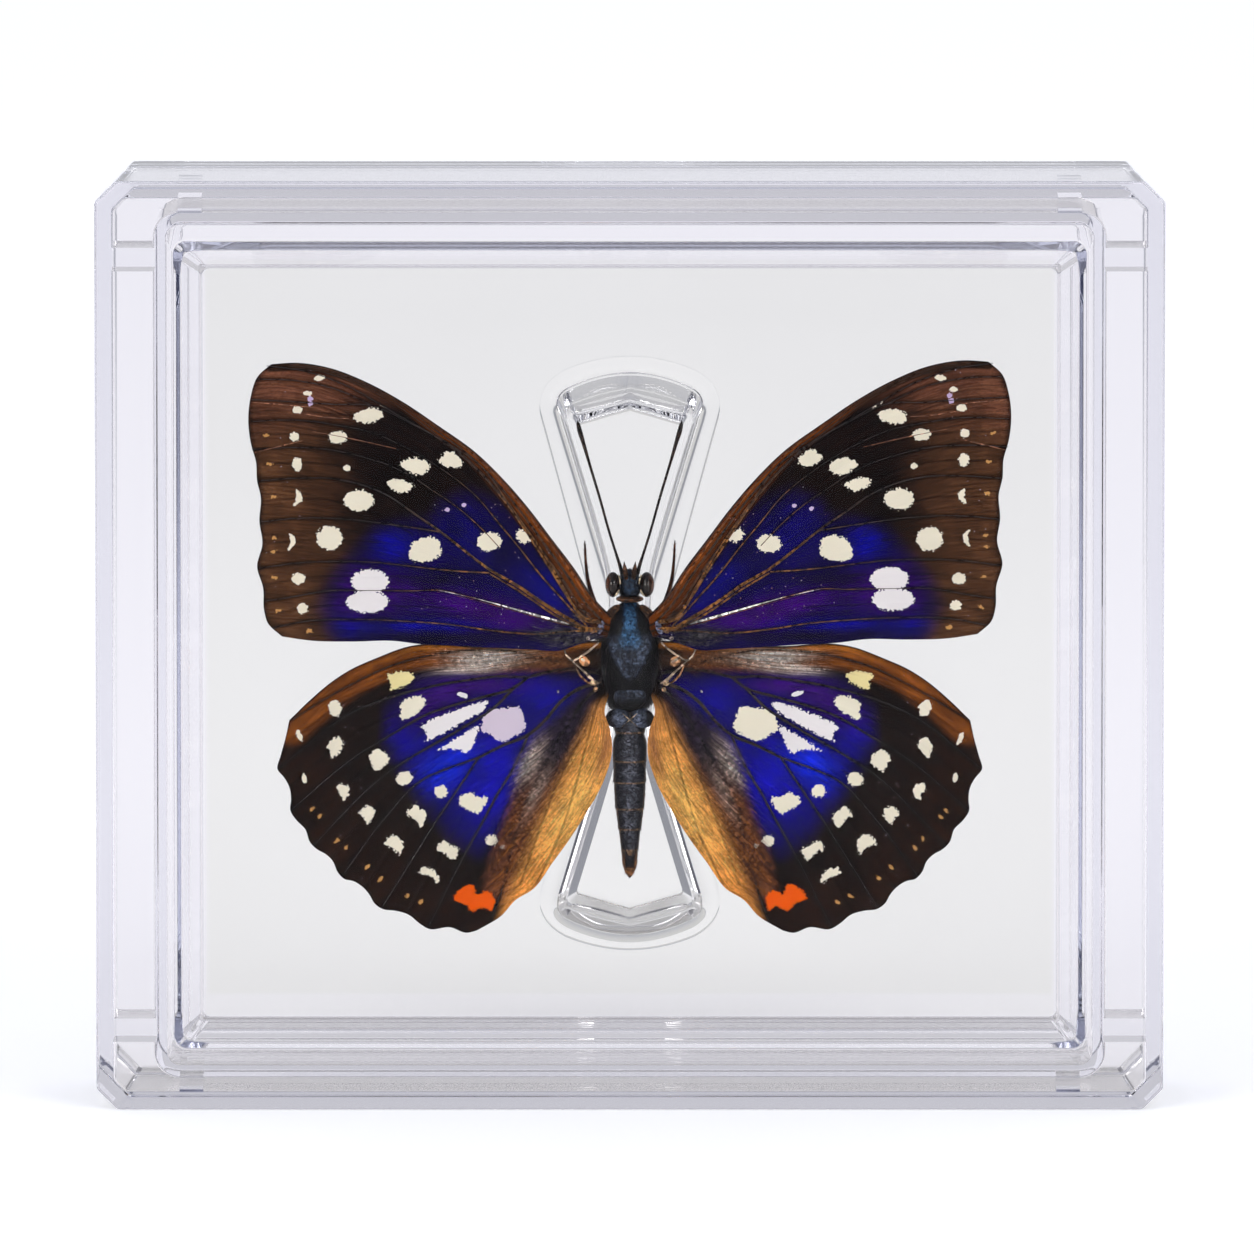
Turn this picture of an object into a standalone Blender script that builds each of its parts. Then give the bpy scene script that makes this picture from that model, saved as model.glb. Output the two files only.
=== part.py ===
"""A mounted purple emperor butterfly on an hourglass stand inside a clear two-part display case.

The case stands upright on its long edge. +X is to the right, +Y goes back from the window,
+Z is up, and the origin is at the middle of the edge that it stands on.
"""
from math import pi, sqrt, tan

import bmesh
import bpy
import numpy as np

MM = 0.001
GAP = 0.3 * MM

CASE_WIDTH = 135 * MM
CASE_HEIGHT = 118 * MM
CASE_DEPTH = 28 * MM
FRONT = -CASE_DEPTH / 2
BACK = CASE_DEPTH / 2
OUTER_WALL = 2.1 * MM
PLATE = 1.8 * MM
PARTING = 5.85 * MM
EDGE = 0.4 * MM
SOFT_EDGE = 0.2 * MM
CORNER_CUT_FRONT = 2.6 * MM
CORNER_CUT_BACK = 4.4 * MM
CORNER_FILLET = 0.8 * MM

# The side and top insets of the walls inside the case differ, so each is a pair: (side, top).
SKIRT_OUT = (7.5 * MM, 4.1 * MM)
SKIRT_THICK = 1.4 * MM
SKIRT_END = 11.6 * MM
SKIRT_CORNER = 3.2 * MM
TRAY_WALL_OUT = (9.4 * MM, 6.0 * MM)
TRAY_WALL_THICK = 1.2 * MM
TRAY_WALL_FRONT = 4.0 * MM
BEZEL_OUT = (10.9 * MM, 8.7 * MM)
BEZEL_SLOPE = 2.5 * MM
BEZEL_DEPTH = 3.8 * MM
BEZEL_UNDER = 1.05 * MM
BEZEL_CORNER = 1.6 * MM
HIP_REACH = 6.5 * MM
HIP_RISE = 0.35 * MM
WEB_THICK = 3.0 * MM
WEB_DEPTH = 9.0 * MM
SIDE_WEB_FROM_EDGE = 10.0 * MM
TOP_WEB_FROM_MIDDLE = 55.5 * MM

STAND_MIDDLE = 55.2 * MM
STAND_FACE = 5.0 * MM
STAND_FLARE = 1 / 3
STAND_SOFTNESS = 3.0 * MM
STAND_BASE = {"waist": 4.3 * MM, "flare_from": 9.0 * MM, "corner": 32.6 * MM, "rise": 6.1 * MM}
STAND_TOP = {"waist": 2.5 * MM, "flare_from": 12.0 * MM, "corner": 33.0 * MM, "rise": 0.9 * MM}
STAND_WALL = 1.5 * MM

WING_THICK = 0.3 * MM
FOREWING_Y = -1.9 * MM
HINDWING_Y = -1.0 * MM
FOREWING_SWEEP = 0.9 * MM
HINDWING_SWEEP = 1.0 * MM
HALF_SPAN = 48 * MM
RIGHT_FOREWING_RISE = 0.35 * MM

# Wing edges of the left side in mm: (distance out from the middle of the body, height).
FOREWING_COSTA = [
    (4.4, 63.7), (7.0, 67.6), (9.8, 71.3), (12.9, 75.4), (16.1, 79.1), (19.6, 82.5),
    (24.2, 85.8), (28.8, 88.9), (33.2, 91.3), (37.8, 93.1), (42.3, 93.8), (45.4, 93.6),
]
FOREWING_MARGIN = [
    (45.4, 93.6), (47.2, 92.0), (48.1, 89.4), (48.4, 86.8), (48.1, 83.6), (47.4, 81.0),
    (47.3, 78.8), (46.8, 76.6), (47.0, 73.6), (46.6, 70.8), (47.3, 67.8), (46.5, 65.0),
    (46.4, 62.3), (45.9, 60.6), (44.1, 58.9),
]
FOREWING_INNER = [
    (4.6, 59.6), (6.4, 58.5), (8.4, 58.0), (12.9, 57.4), (21.9, 57.8), (26.5, 58.0),
    (30.0, 58.4), (35.1, 58.3), (40.4, 58.4), (44.1, 58.9),
]
HINDWING_COSTA = [
    (4.9, 57.0), (11.1, 57.4), (19.6, 57.5), (26.0, 57.9), (27.9, 57.6), (32.3, 56.0),
    (35.2, 54.7), (38.1, 52.8), (40.3, 50.9), (43.2, 48.1),
]
HINDWING_MARGIN = [
    (43.2, 48.1), (43.7, 45.8), (44.3, 43.6), (44.7, 41.8), (43.9, 40.8), (43.2, 39.5),
    (43.0, 38.0), (43.1, 36.6), (42.3, 35.3), (41.2, 34.2), (40.6, 32.5), (39.7, 31.6),
    (38.6, 31.0), (37.7, 30.1), (37.1, 28.7), (36.2, 27.8), (35.2, 27.6), (33.9, 26.8),
    (33.1, 25.9), (32.4, 24.7), (31.4, 24.0), (29.8, 23.8), (28.1, 23.3), (26.6, 22.1),
    (25.6, 21.5), (22.8, 21.7), (20.7, 21.0), (19.4, 21.3),
]
HINDWING_INNER = [
    (4.3, 51.4), (3.3, 49.0), (2.7, 46.6), (2.6, 44.0), (4.1, 39.1), (5.5, 35.8),
    (7.5, 33.2), (9.8, 30.0), (12.3, 26.6), (14.5, 25.2), (16.3, 23.2), (19.4, 21.3),
]
WING_ROWS = 11

# Body sections in mm: (height, half width, half depth, middle in depth).
THORAX = [
    (62.7, 1.2, 1.3, 0.2), (62.0, 2.3, 2.4, 0.3), (60.8, 3.2, 3.3, 0.5), (59.0, 3.9, 3.9, 0.6),
    (57.0, 4.05, 4.1, 0.6), (55.0, 4.0, 4.1, 0.6), (53.0, 3.7, 3.8, 0.7), (51.2, 3.2, 3.3, 0.8),
    (49.9, 2.6, 2.6, 0.9), (49.4, 1.7, 1.8, 1.0),
]
ABDOMEN = [
    (49.1, 1.7, 1.7, 1.1), (48.5, 2.3, 2.2, 1.1), (47.3, 2.1, 2.1, 1.2), (46.3, 1.8, 1.9, 1.2),
    (45.3, 1.95, 2.0, 1.2), (42.7, 1.9, 2.0, 1.2), (40.0, 1.93, 2.0, 1.2), (36.7, 1.65, 1.8, 1.2),
    (34.0, 1.38, 1.5, 1.2), (31.7, 1.06, 1.2, 1.2), (29.2, 0.78, 0.9, 1.2), (28.2, 0.45, 0.5, 1.2),
]
HEAD_MIDDLE = np.array([0.0, 0.2, 65.15]) * MM
HEAD_HALF = np.array([1.8, 1.8, 2.05]) * MM
EYE_MIDDLE = np.array([1.98, -0.1, 65.3]) * MM
EYE_HALF = np.array([0.9, 1.25, 1.5]) * MM

# Paths of the thin pieces in mm: (distance out, depth, height, radius).
ANTENNA = [
    (1.15, -1.3, 67.6, 0.19), (2.4, -1.5, 71.6, 0.17), (4.0, -1.6, 77.3, 0.17),
    (5.2, -1.6, 81.3, 0.19), (5.9, -1.5, 83.7, 0.26), (6.4, -1.5, 85.4, 0.29),
    (6.6, -1.5, 86.3, 0.14),
]
PALP = [(0.5, -1.9, 67.3, 0.3), (0.5, -2.0, 67.8, 0.34), (0.42, -1.9, 68.5, 0.14)]
MID_LEG = [
    (3.4, 4.0, 60.6, 0.26), (4.4, 3.6, 62.6, 0.3), (5.3, 3.0, 65.6, 0.26),
    (5.6, 2.4, 68.2, 0.18), (5.7, 2.0, 70.4, 0.09),
]
HIND_LEG = [
    (4.0, 4.1, 54.0, 0.28), (4.8, 3.9, 50.6, 0.3), (4.6, 3.7, 46.6, 0.24),
    (3.7, 3.6, 42.4, 0.16), (3.3, 3.5, 39.4, 0.1),
]

CORNER_STEPS = 4


def material(name, colour, roughness, transmission=0.0):
    """Plain Principled material; clear plastic has transmission and the index of acrylic."""
    finish = bpy.data.materials.new(name)
    finish.use_nodes = True
    shader = finish.node_tree.nodes["Principled BSDF"]
    shader.inputs["Base Color"].default_value = (*colour, 1.0)
    shader.inputs["Roughness"].default_value = roughness
    shader.inputs["Metallic"].default_value = 0.0
    shader.inputs["Transmission Weight"].default_value = transmission
    if transmission:
        shader.inputs["IOR"].default_value = 1.49
    return finish


def solid(name, vertices, faces, finish, sharp_from=None):
    """Object from vertices and faces, with its faces turned outwards."""
    mesh = bpy.data.meshes.new(name)
    mesh.from_pydata([tuple(point) for point in vertices], [], faces)
    work = bmesh.new()
    work.from_mesh(mesh)
    bmesh.ops.recalc_face_normals(work, faces=work.faces)
    work.to_mesh(mesh)
    work.free()
    if sharp_from is None:
        mesh.shade_smooth()
    else:
        mesh.shade_smooth()
        mesh.set_sharp_from_angle(angle=sharp_from)
    mesh.materials.append(finish)
    item = bpy.data.objects.new(name, mesh)
    bpy.context.scene.collection.objects.link(item)
    return item


def as_helper(item):
    """Mark an object as a cutter or an addition that is not itself a piece."""
    item.hide_render = True
    item.display_type = "WIRE"
    return item


def combine(item, helper, operation):
    """Join a helper to a piece, or cut it away."""
    step = item.modifiers.new(operation.title(), "BOOLEAN")
    step.operation = operation
    step.solver = "EXACT"
    step.object = helper


def stacked_faces(ring_count, ring_size):
    """Quads between neighbouring rings, and one cap at each end."""
    faces = []
    for ring in range(ring_count - 1):
        low = ring * ring_size
        high = low + ring_size
        for step in range(ring_size):
            after = (step + 1) % ring_size
            faces.append((low + step, low + after, high + after, high + step))
    faces.append(tuple(range(ring_size)))
    last = (ring_count - 1) * ring_size
    faces.append(tuple(range(last, last + ring_size)))
    return faces


def lofted(name, rings, finish, sharp_from=None):
    """Closed solid through a list of rings that all have the same number of points."""
    return solid(name, np.concatenate(rings), stacked_faces(len(rings), len(rings[0])), finish, sharp_from)


def case_ring(inset, y, radius, flat=0.0):
    """Rectangle inset from the case's outline; each corner is two 45 degree arcs and a flat."""
    half_width = CASE_WIDTH / 2 - inset[0]
    half_height = CASE_HEIGHT / 2 - inset[1]
    turn = np.linspace(0, pi / 4, CORNER_STEPS)
    cut = (flat + 2 * radius * tan(pi / 8)) / sqrt(2) + radius * tan(pi / 8)
    lower_x = half_width - radius + radius * np.cos(turn)
    lower_z = half_height - cut + radius * np.sin(turn)
    upper_x = half_width - cut + radius * np.cos(turn + pi / 4)
    upper_z = half_height - radius + radius * np.sin(turn + pi / 4)
    corner_x = np.concatenate([lower_x, upper_x])
    corner_z = np.concatenate([lower_z, upper_z])
    x = np.concatenate([corner_x, -corner_x[::-1], -corner_x, corner_x[::-1]])
    z = np.concatenate([corner_z, corner_z[::-1], -corner_z, -corner_z[::-1]])
    return np.stack([x, np.full_like(x, y), z + CASE_HEIGHT / 2], axis=1)


def outer_ring(inset, y):
    """Ring with the cut corners of the outside, which are cut deeper towards the back."""
    share = (y - FRONT) / CASE_DEPTH
    cut = CORNER_CUT_FRONT + share * (CORNER_CUT_BACK - CORNER_CUT_FRONT) - (2 - sqrt(2)) * inset
    flat = max(cut * sqrt(2) - 2 * CORNER_FILLET * tan(pi / 8), 0.1 * MM)
    return case_ring((inset, inset), y, CORNER_FILLET, flat)


def deeper(pair, more):
    """Inset pair moved further in by one distance."""
    return (pair[0] + more, pair[1] + more)


def rounded_wall(pair, thick, free_end, root, corner):
    """Rings up one side of a free-standing wall, over its end and down the other side."""
    toward_root = 1 if root > free_end else -1
    lip = free_end + toward_root * SOFT_EDGE
    foot = root - toward_root * SOFT_EDGE
    inner = max(corner - thick, 1.0 * MM)
    return [
        case_ring(deeper(pair, -SOFT_EDGE), root, corner + SOFT_EDGE),
        case_ring(pair, foot, corner),
        case_ring(pair, lip, corner),
        case_ring(deeper(pair, SOFT_EDGE), free_end, corner - SOFT_EDGE),
        case_ring(deeper(pair, thick - SOFT_EDGE), free_end, inner + SOFT_EDGE),
        case_ring(deeper(pair, thick), lip, inner),
        case_ring(deeper(pair, thick), foot, inner),
        case_ring(deeper(pair, thick + SOFT_EDGE), root, inner),
    ]


def case_front(finish):
    """Cover: recessed window, sloping bezel, border, outer wall and the skirt inside it."""
    window = deeper(BEZEL_OUT, BEZEL_SLOPE)
    window_y = FRONT + BEZEL_DEPTH
    under_border = FRONT + PLATE
    rim_y = PARTING - GAP / 2
    rings = [
        case_ring(deeper(window, HIP_REACH), window_y + HIP_RISE, 1.0 * MM),
        case_ring(deeper(window, HIP_REACH / 2), window_y + HIP_RISE * 0.75, 1.0 * MM),
        case_ring(window, window_y, 1.0 * MM),
        case_ring(BEZEL_OUT, FRONT + SOFT_EDGE, BEZEL_CORNER),
        case_ring(deeper(BEZEL_OUT, -SOFT_EDGE), FRONT, BEZEL_CORNER),
        outer_ring(EDGE, FRONT),
        outer_ring(EDGE * 0.3, FRONT + EDGE * 0.3),
        outer_ring(0.0, FRONT + EDGE),
        outer_ring(0.0, rim_y - SOFT_EDGE),
        outer_ring(SOFT_EDGE, rim_y),
        outer_ring(OUTER_WALL - SOFT_EDGE, rim_y),
        outer_ring(OUTER_WALL, rim_y - SOFT_EDGE),
        outer_ring(OUTER_WALL, under_border + EDGE),
        outer_ring(OUTER_WALL + EDGE, under_border),
    ]
    rings += rounded_wall(SKIRT_OUT, SKIRT_THICK, SKIRT_END, under_border, SKIRT_CORNER)
    bezel_foot = deeper(BEZEL_OUT, -BEZEL_UNDER)
    inner_window = deeper(window, -BEZEL_UNDER)
    inner_y = window_y + PLATE
    rings += [
        case_ring(bezel_foot, under_border, BEZEL_CORNER),
        case_ring(inner_window, inner_y, 1.0 * MM),
        case_ring(deeper(inner_window, HIP_REACH), inner_y + HIP_RISE, 1.0 * MM),
    ]
    cover = lofted("case_front", rings, finish, sharp_from=pi / 6)
    combine(cover, cross_webs(finish), "UNION")
    return cover


def cross_webs(finish):
    """The eight short webs that tie the outer wall to the skirt in the channel round the cover."""
    overlap = 0.5 * MM
    near = FRONT + PLATE - overlap
    far = near + overlap + WEB_DEPTH
    outer = OUTER_WALL - overlap
    side_mid = (outer + SKIRT_OUT[0] + overlap) / 2
    top_mid = (outer + SKIRT_OUT[1] + overlap) / 2
    side_half = (SKIRT_OUT[0] + overlap - outer) / 2
    top_half = (SKIRT_OUT[1] + overlap - outer) / 2
    side_up = CASE_HEIGHT / 2 - SIDE_WEB_FROM_EDGE
    work = bmesh.new()
    for across in (-1, 1):
        for up in (-1, 1):
            side = bmesh.ops.create_cube(work, size=1.0)["verts"]
            bmesh.ops.scale(work, vec=(2 * side_half, far - near, WEB_THICK), verts=side)
            place = (across * (CASE_WIDTH / 2 - side_mid), (near + far) / 2, CASE_HEIGHT / 2 + up * side_up)
            bmesh.ops.translate(work, vec=place, verts=side)
            top = bmesh.ops.create_cube(work, size=1.0)["verts"]
            bmesh.ops.scale(work, vec=(WEB_THICK, far - near, 2 * top_half), verts=top)
            lift = CASE_HEIGHT / 2 + up * (CASE_HEIGHT / 2 - top_mid)
            place = (across * TOP_WEB_FROM_MIDDLE, (near + far) / 2, lift)
            bmesh.ops.translate(work, vec=place, verts=top)
    mesh = bpy.data.meshes.new("cover_webs")
    work.to_mesh(mesh)
    work.free()
    mesh.materials.append(finish)
    webs = bpy.data.objects.new("cover_webs", mesh)
    bpy.context.scene.collection.objects.link(webs)
    return as_helper(webs)


def hourglass_ring(y, shape, inward=0.0):
    """Hourglass outline: straight flares from a narrow waist, closed by a shallow arc each end."""
    corner = shape["corner"] - inward
    height = np.linspace(-corner, corner, 15)
    past = np.abs(height) - shape["flare_from"]
    flare = (past + np.sqrt(past ** 2 + STAND_SOFTNESS ** 2)) / 2
    half = shape["waist"] - inward * 0.9 + STAND_FLARE * flare
    across = np.linspace(half[-1], -half[-1], 9)[1:-1]
    arc = corner + shape["rise"] * (1 - (across / half[-1]) ** 2)
    x = np.concatenate([half, across, -half[::-1], -across])
    z = np.concatenate([height, arc, height[::-1], -arc])
    return np.stack([x, np.full_like(x, y), z + STAND_MIDDLE], axis=1)


def stand_boss(finish):
    """The hourglass stand as a solid with sloping sides, rooted in the tray's plate."""
    foot = BACK - PLATE / 2
    rings = [
        hourglass_ring(foot, STAND_BASE),
        hourglass_ring(BACK - PLATE, STAND_BASE),
        hourglass_ring(STAND_FACE + SOFT_EDGE, STAND_TOP),
        hourglass_ring(STAND_FACE, STAND_TOP, SOFT_EDGE),
    ]
    return as_helper(lofted("stand_boss", rings, finish))


def stand_hollow(finish):
    """The hollow behind the stand, open at the tray's back."""
    rings = [
        hourglass_ring(BACK + 1.0 * MM, STAND_BASE, STAND_WALL),
        hourglass_ring(BACK, STAND_BASE, STAND_WALL),
        hourglass_ring(STAND_FACE + STAND_WALL, STAND_TOP, STAND_WALL),
    ]
    return as_helper(lofted("stand_hollow", rings, finish))


def case_back(finish):
    """Tray: back plate, outer rim, the wall that nests inside the cover's skirt, and the stand."""
    plate_y = BACK - PLATE
    rim_y = PARTING + GAP / 2
    rings = [
        outer_ring(EDGE, BACK),
        outer_ring(0.0, BACK - EDGE),
        outer_ring(0.0, rim_y + SOFT_EDGE),
        outer_ring(SOFT_EDGE, rim_y),
        outer_ring(OUTER_WALL - SOFT_EDGE, rim_y),
        outer_ring(OUTER_WALL, rim_y + SOFT_EDGE),
        outer_ring(OUTER_WALL, plate_y - EDGE),
        outer_ring(OUTER_WALL + EDGE, plate_y),
    ]
    rings += rounded_wall(TRAY_WALL_OUT, TRAY_WALL_THICK, TRAY_WALL_FRONT, plate_y, SKIRT_CORNER - SKIRT_THICK)
    tray = lofted("case_back", rings, finish, sharp_from=pi / 6)
    combine(tray, stand_boss(finish), "UNION")
    combine(tray, stand_hollow(finish), "DIFFERENCE")
    return tray


def smooth_curve(points, where):
    """Catmull-Rom curve through points given in mm, read at shares of its chord length."""
    knots = np.array(points, dtype=float) * MM
    lengths = np.linalg.norm(np.diff(knots, axis=0), axis=1)
    at = np.concatenate([[0.0], np.cumsum(lengths)])
    at = at / at[-1]
    slope = np.gradient(knots, at, axis=0)
    place = np.clip(np.searchsorted(at, where, side="right") - 1, 0, len(at) - 2)
    span = at[place + 1] - at[place]
    t = ((where - at[place]) / span)[:, None]
    span = span[:, None]
    start = (2 * t ** 3 - 3 * t ** 2 + 1) * knots[place] + (t ** 3 - 2 * t ** 2 + t) * span * slope[place]
    end = (3 * t ** 2 - 2 * t ** 3) * knots[place + 1] + (t ** 3 - t ** 2) * span * slope[place + 1]
    return start + end


def knot_shares(points):
    """Shares of the chord length at which a curve passes its own points."""
    knots = np.array(points, dtype=float)
    at = np.concatenate([[0.0], np.cumsum(np.linalg.norm(np.diff(knots, axis=0), axis=1))])
    return at / at[-1]


def wing_patch(costa, margin, inner):
    """Coons patch between the leading edge, the outer margin, the inner margin and the root."""
    rows = np.linspace(0, 1, WING_ROWS)
    columns = knot_shares(margin)
    lead = smooth_curve(costa, rows)[:, None]
    trail = smooth_curve(inner, rows)[:, None]
    outer = smooth_curve(margin, columns)[None]
    root = (lead[0] + (trail[0] - lead[0]) * columns[:, None])[None]
    r = rows[:, None, None]
    c = columns[None, :, None]
    corners = (1 - r) * (1 - c) * lead[0] + (1 - r) * c * trail[0]
    corners = corners + r * (1 - c) * lead[-1] + r * c * trail[-1]
    return (1 - c) * lead + c * trail + (1 - r) * root + r * outer - corners


def grid_plate(name, patch, middle, side, finish):
    """Thin plate over a grid of (out, height) points, bent in depth by the middle surface."""
    rows, columns = patch.shape[:2]
    flat = patch.reshape(-1, 2)
    depth = middle(flat[:, 0])
    front = np.stack([side * flat[:, 0], depth - WING_THICK / 2, flat[:, 1]], axis=1)
    back = np.stack([side * flat[:, 0], depth + WING_THICK / 2, flat[:, 1]], axis=1)
    index = np.arange(rows * columns).reshape(rows, columns)
    layer = rows * columns
    quads = np.stack([index[:-1, :-1], index[1:, :-1], index[1:, 1:], index[:-1, 1:]], axis=-1).reshape(-1, 4)
    edge = np.concatenate([index[:-1, 0], index[-1, :-1], index[:0:-1, -1], index[0, :0:-1]])
    after = np.roll(edge, -1)
    rim = np.stack([edge, after, after + layer, edge + layer], axis=1)
    faces = np.concatenate([quads, quads[:, ::-1] + layer, rim]).tolist()
    return solid(name, np.concatenate([front, back]), faces, finish, sharp_from=pi / 3)


def forewing(side, word, finish):
    """Forewing: it lies in front of the hindwing, and its tip sweeps a little back."""
    patch = wing_patch(FOREWING_COSTA, FOREWING_MARGIN, FOREWING_INNER)
    if side > 0:
        patch = patch + np.array([0.0, 1.0]) * RIGHT_FOREWING_RISE * patch[..., :1] / HALF_SPAN
    return grid_plate(
        "forewing_" + word, patch,
        lambda out: FOREWING_Y + FOREWING_SWEEP * (out / HALF_SPAN) ** 2, side, finish,
    )


def hindwing(side, word, finish):
    """Hindwing: behind the forewing's inner edge, down both sides of the abdomen."""
    patch = wing_patch(HINDWING_COSTA, HINDWING_MARGIN, HINDWING_INNER)
    return grid_plate(
        "hindwing_" + word, patch,
        lambda out: HINDWING_Y + HINDWING_SWEEP * (out / HALF_SPAN) ** 2, side, finish,
    )


def body_section(name, stations, finish):
    """Body piece: an ellipse at each height, joined from end to end."""
    turn = np.linspace(0, 2 * pi, 16, endpoint=False)
    rings = []
    for height, half_width, half_depth, middle in stations:
        x = half_width * np.cos(turn)
        y = middle + half_depth * np.sin(turn)
        rings.append(np.stack([x, y, np.full_like(x, height)], axis=1) * MM)
    return lofted(name, rings, finish)


def ellipsoid(name, middle, half, finish):
    """Ball stretched to half sizes along each axis."""
    work = bmesh.new()
    bmesh.ops.create_uvsphere(work, u_segments=14, v_segments=9, radius=1.0)
    bmesh.ops.scale(work, vec=half, verts=work.verts)
    bmesh.ops.translate(work, vec=middle, verts=work.verts)
    mesh = bpy.data.meshes.new(name)
    work.to_mesh(mesh)
    work.free()
    mesh.shade_smooth()
    mesh.materials.append(finish)
    ball = bpy.data.objects.new(name, mesh)
    bpy.context.scene.collection.objects.link(ball)
    return ball


def head(finish, eye_finish):
    """Head with its two large eyes grown on at the sides."""
    skull = ellipsoid("head", HEAD_MIDDLE, HEAD_HALF, finish)
    for side in (-1, 1):
        middle = EYE_MIDDLE * np.array([side, 1, 1])
        eye = ellipsoid("eye_form", middle, EYE_HALF, eye_finish)
        combine(skull, as_helper(eye), "UNION")
    return skull


def thin_piece(name, path, side, finish):
    """Round piece with its own radius at each point of its path, and blunt ends."""
    data = np.array(path, dtype=float) * MM
    points = data[:, :3] * np.array([side, 1, 1])
    along = np.gradient(points, axis=0)
    along /= np.linalg.norm(along, axis=1, keepdims=True)
    sideways = np.cross(along, [0.0, 1.0, 0.0])
    sideways /= np.linalg.norm(sideways, axis=1, keepdims=True)
    upward = np.cross(sideways, along)
    turn = np.linspace(0, 2 * pi, 8, endpoint=False)
    rings = []
    for point, across, up, radius in zip(points, sideways, upward, data[:, 3]):
        circle = np.outer(np.cos(turn), across) + np.outer(np.sin(turn), up)
        rings.append(point + radius * circle)
    return lofted(name, rings, finish)


def build():
    for item in list(bpy.data.objects):
        bpy.data.objects.remove(item, do_unlink=True)
    clear = material("clear_acrylic", (0.93, 0.94, 0.97), 0.03, transmission=1.0)
    scales = material("wing_scales", (0.09, 0.05, 0.16), 0.5)
    fur = material("body_fur", (0.02, 0.02, 0.025), 0.7)
    eye = material("compound_eye", (0.22, 0.09, 0.04), 0.25)
    horn = material("dark_horn", (0.04, 0.02, 0.015), 0.4)
    case_front(clear)
    case_back(clear)
    body_section("thorax", THORAX, fur)
    body_section("abdomen", ABDOMEN, fur)
    head(fur, eye)
    for side, word in ((-1, "left"), (1, "right")):
        forewing(side, word, scales)
        hindwing(side, word, scales)
        thin_piece("antenna_" + word, ANTENNA, side, horn)
        thin_piece("palp_" + word, PALP, side, fur)
        thin_piece("leg_mid_" + word, MID_LEG, side, horn)
        thin_piece("leg_hind_" + word, HIND_LEG, side, horn)


build()
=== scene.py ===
"""A mounted purple emperor butterfly on a clear hourglass stand, sealed in a clear two-part case."""
from math import cos, pi, radians, sin, sqrt, tan

import bpy
import numpy as np
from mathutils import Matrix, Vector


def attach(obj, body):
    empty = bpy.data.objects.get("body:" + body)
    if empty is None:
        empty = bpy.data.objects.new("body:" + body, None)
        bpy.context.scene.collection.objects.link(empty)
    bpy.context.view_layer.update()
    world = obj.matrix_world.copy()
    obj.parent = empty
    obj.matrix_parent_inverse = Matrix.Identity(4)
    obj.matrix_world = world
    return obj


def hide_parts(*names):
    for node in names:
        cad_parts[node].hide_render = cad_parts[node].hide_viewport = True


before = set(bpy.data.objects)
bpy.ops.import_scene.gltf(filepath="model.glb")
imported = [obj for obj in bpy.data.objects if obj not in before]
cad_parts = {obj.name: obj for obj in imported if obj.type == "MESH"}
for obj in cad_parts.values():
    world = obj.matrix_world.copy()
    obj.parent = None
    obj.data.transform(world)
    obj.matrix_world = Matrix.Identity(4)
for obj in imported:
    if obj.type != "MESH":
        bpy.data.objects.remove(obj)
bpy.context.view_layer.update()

MM = 0.001

# The table, the light and the camera: a matt white table top, a pale sky of soft light that is
# greyer and bluer towards the horizon, two large soft boxes in front to the left and the right, and a
# long lens set square to the case and a little above it.
VIEW_DOWN = radians(6.5)
VIEW_DISTANCE = 3.0
VIEW_LENS = 682
VIEW_AT = np.array([-0.35, -14.0, 61.5]) * MM
TABLE_HALF = 30.0
TABLE_DROP = 0.04 * MM
TABLE_GLOW = 0.42
BOX_GLOW = 9.5


def linear(red, green, blue):
    """Linear colour from 0 to 255 screen values: the power law of 2.4 with its straight foot."""
    share = np.array([red, green, blue]) / 255
    return tuple(np.where(share <= 0.04045, share / 12.92, ((share + 0.055) / 1.055) ** 2.4).tolist())


def add(tree, kind, inputs=None, **settings):
    """Shader node with its settings, and inputs that are either values or sockets of other nodes."""
    node = tree.nodes.new(kind)
    for key, value in settings.items():
        setattr(node, key, value)
    for key, value in (inputs or {}).items():
        if isinstance(value, bpy.types.NodeSocket):
            tree.links.new(value, node.inputs[key])
        else:
            node.inputs[key].default_value = value
    return node


def calc(tree, operation, first, second=0.5, third=0.0):
    """Result of one step of arithmetic between sockets or numbers."""
    return add(tree, "ShaderNodeMath", {0: first, 1: second, 2: third}, operation=operation).outputs[0]


def ramp(tree, value, low, high, start=0.0, end=1.0):
    """Smooth step: start below low, end above high, and an S curve between."""
    step = add(tree, "ShaderNodeMapRange", {
        "Value": value, "From Min": low, "From Max": high, "To Min": start, "To Max": end,
    }, interpolation_type="SMOOTHSTEP")
    return step.outputs["Result"]


def blend(tree, share, first, second, mode="MIX"):
    """Colour between two colours, by a share from 0 to 1."""
    node = add(tree, "ShaderNodeMix", data_type="RGBA", blend_type=mode)
    for socket, value in ((node.inputs[0], share), (node.inputs[6], first), (node.inputs[7], second)):
        if isinstance(value, bpy.types.NodeSocket):
            tree.links.new(value, socket)
        else:
            socket.default_value = value
    return node.outputs[2]


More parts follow.
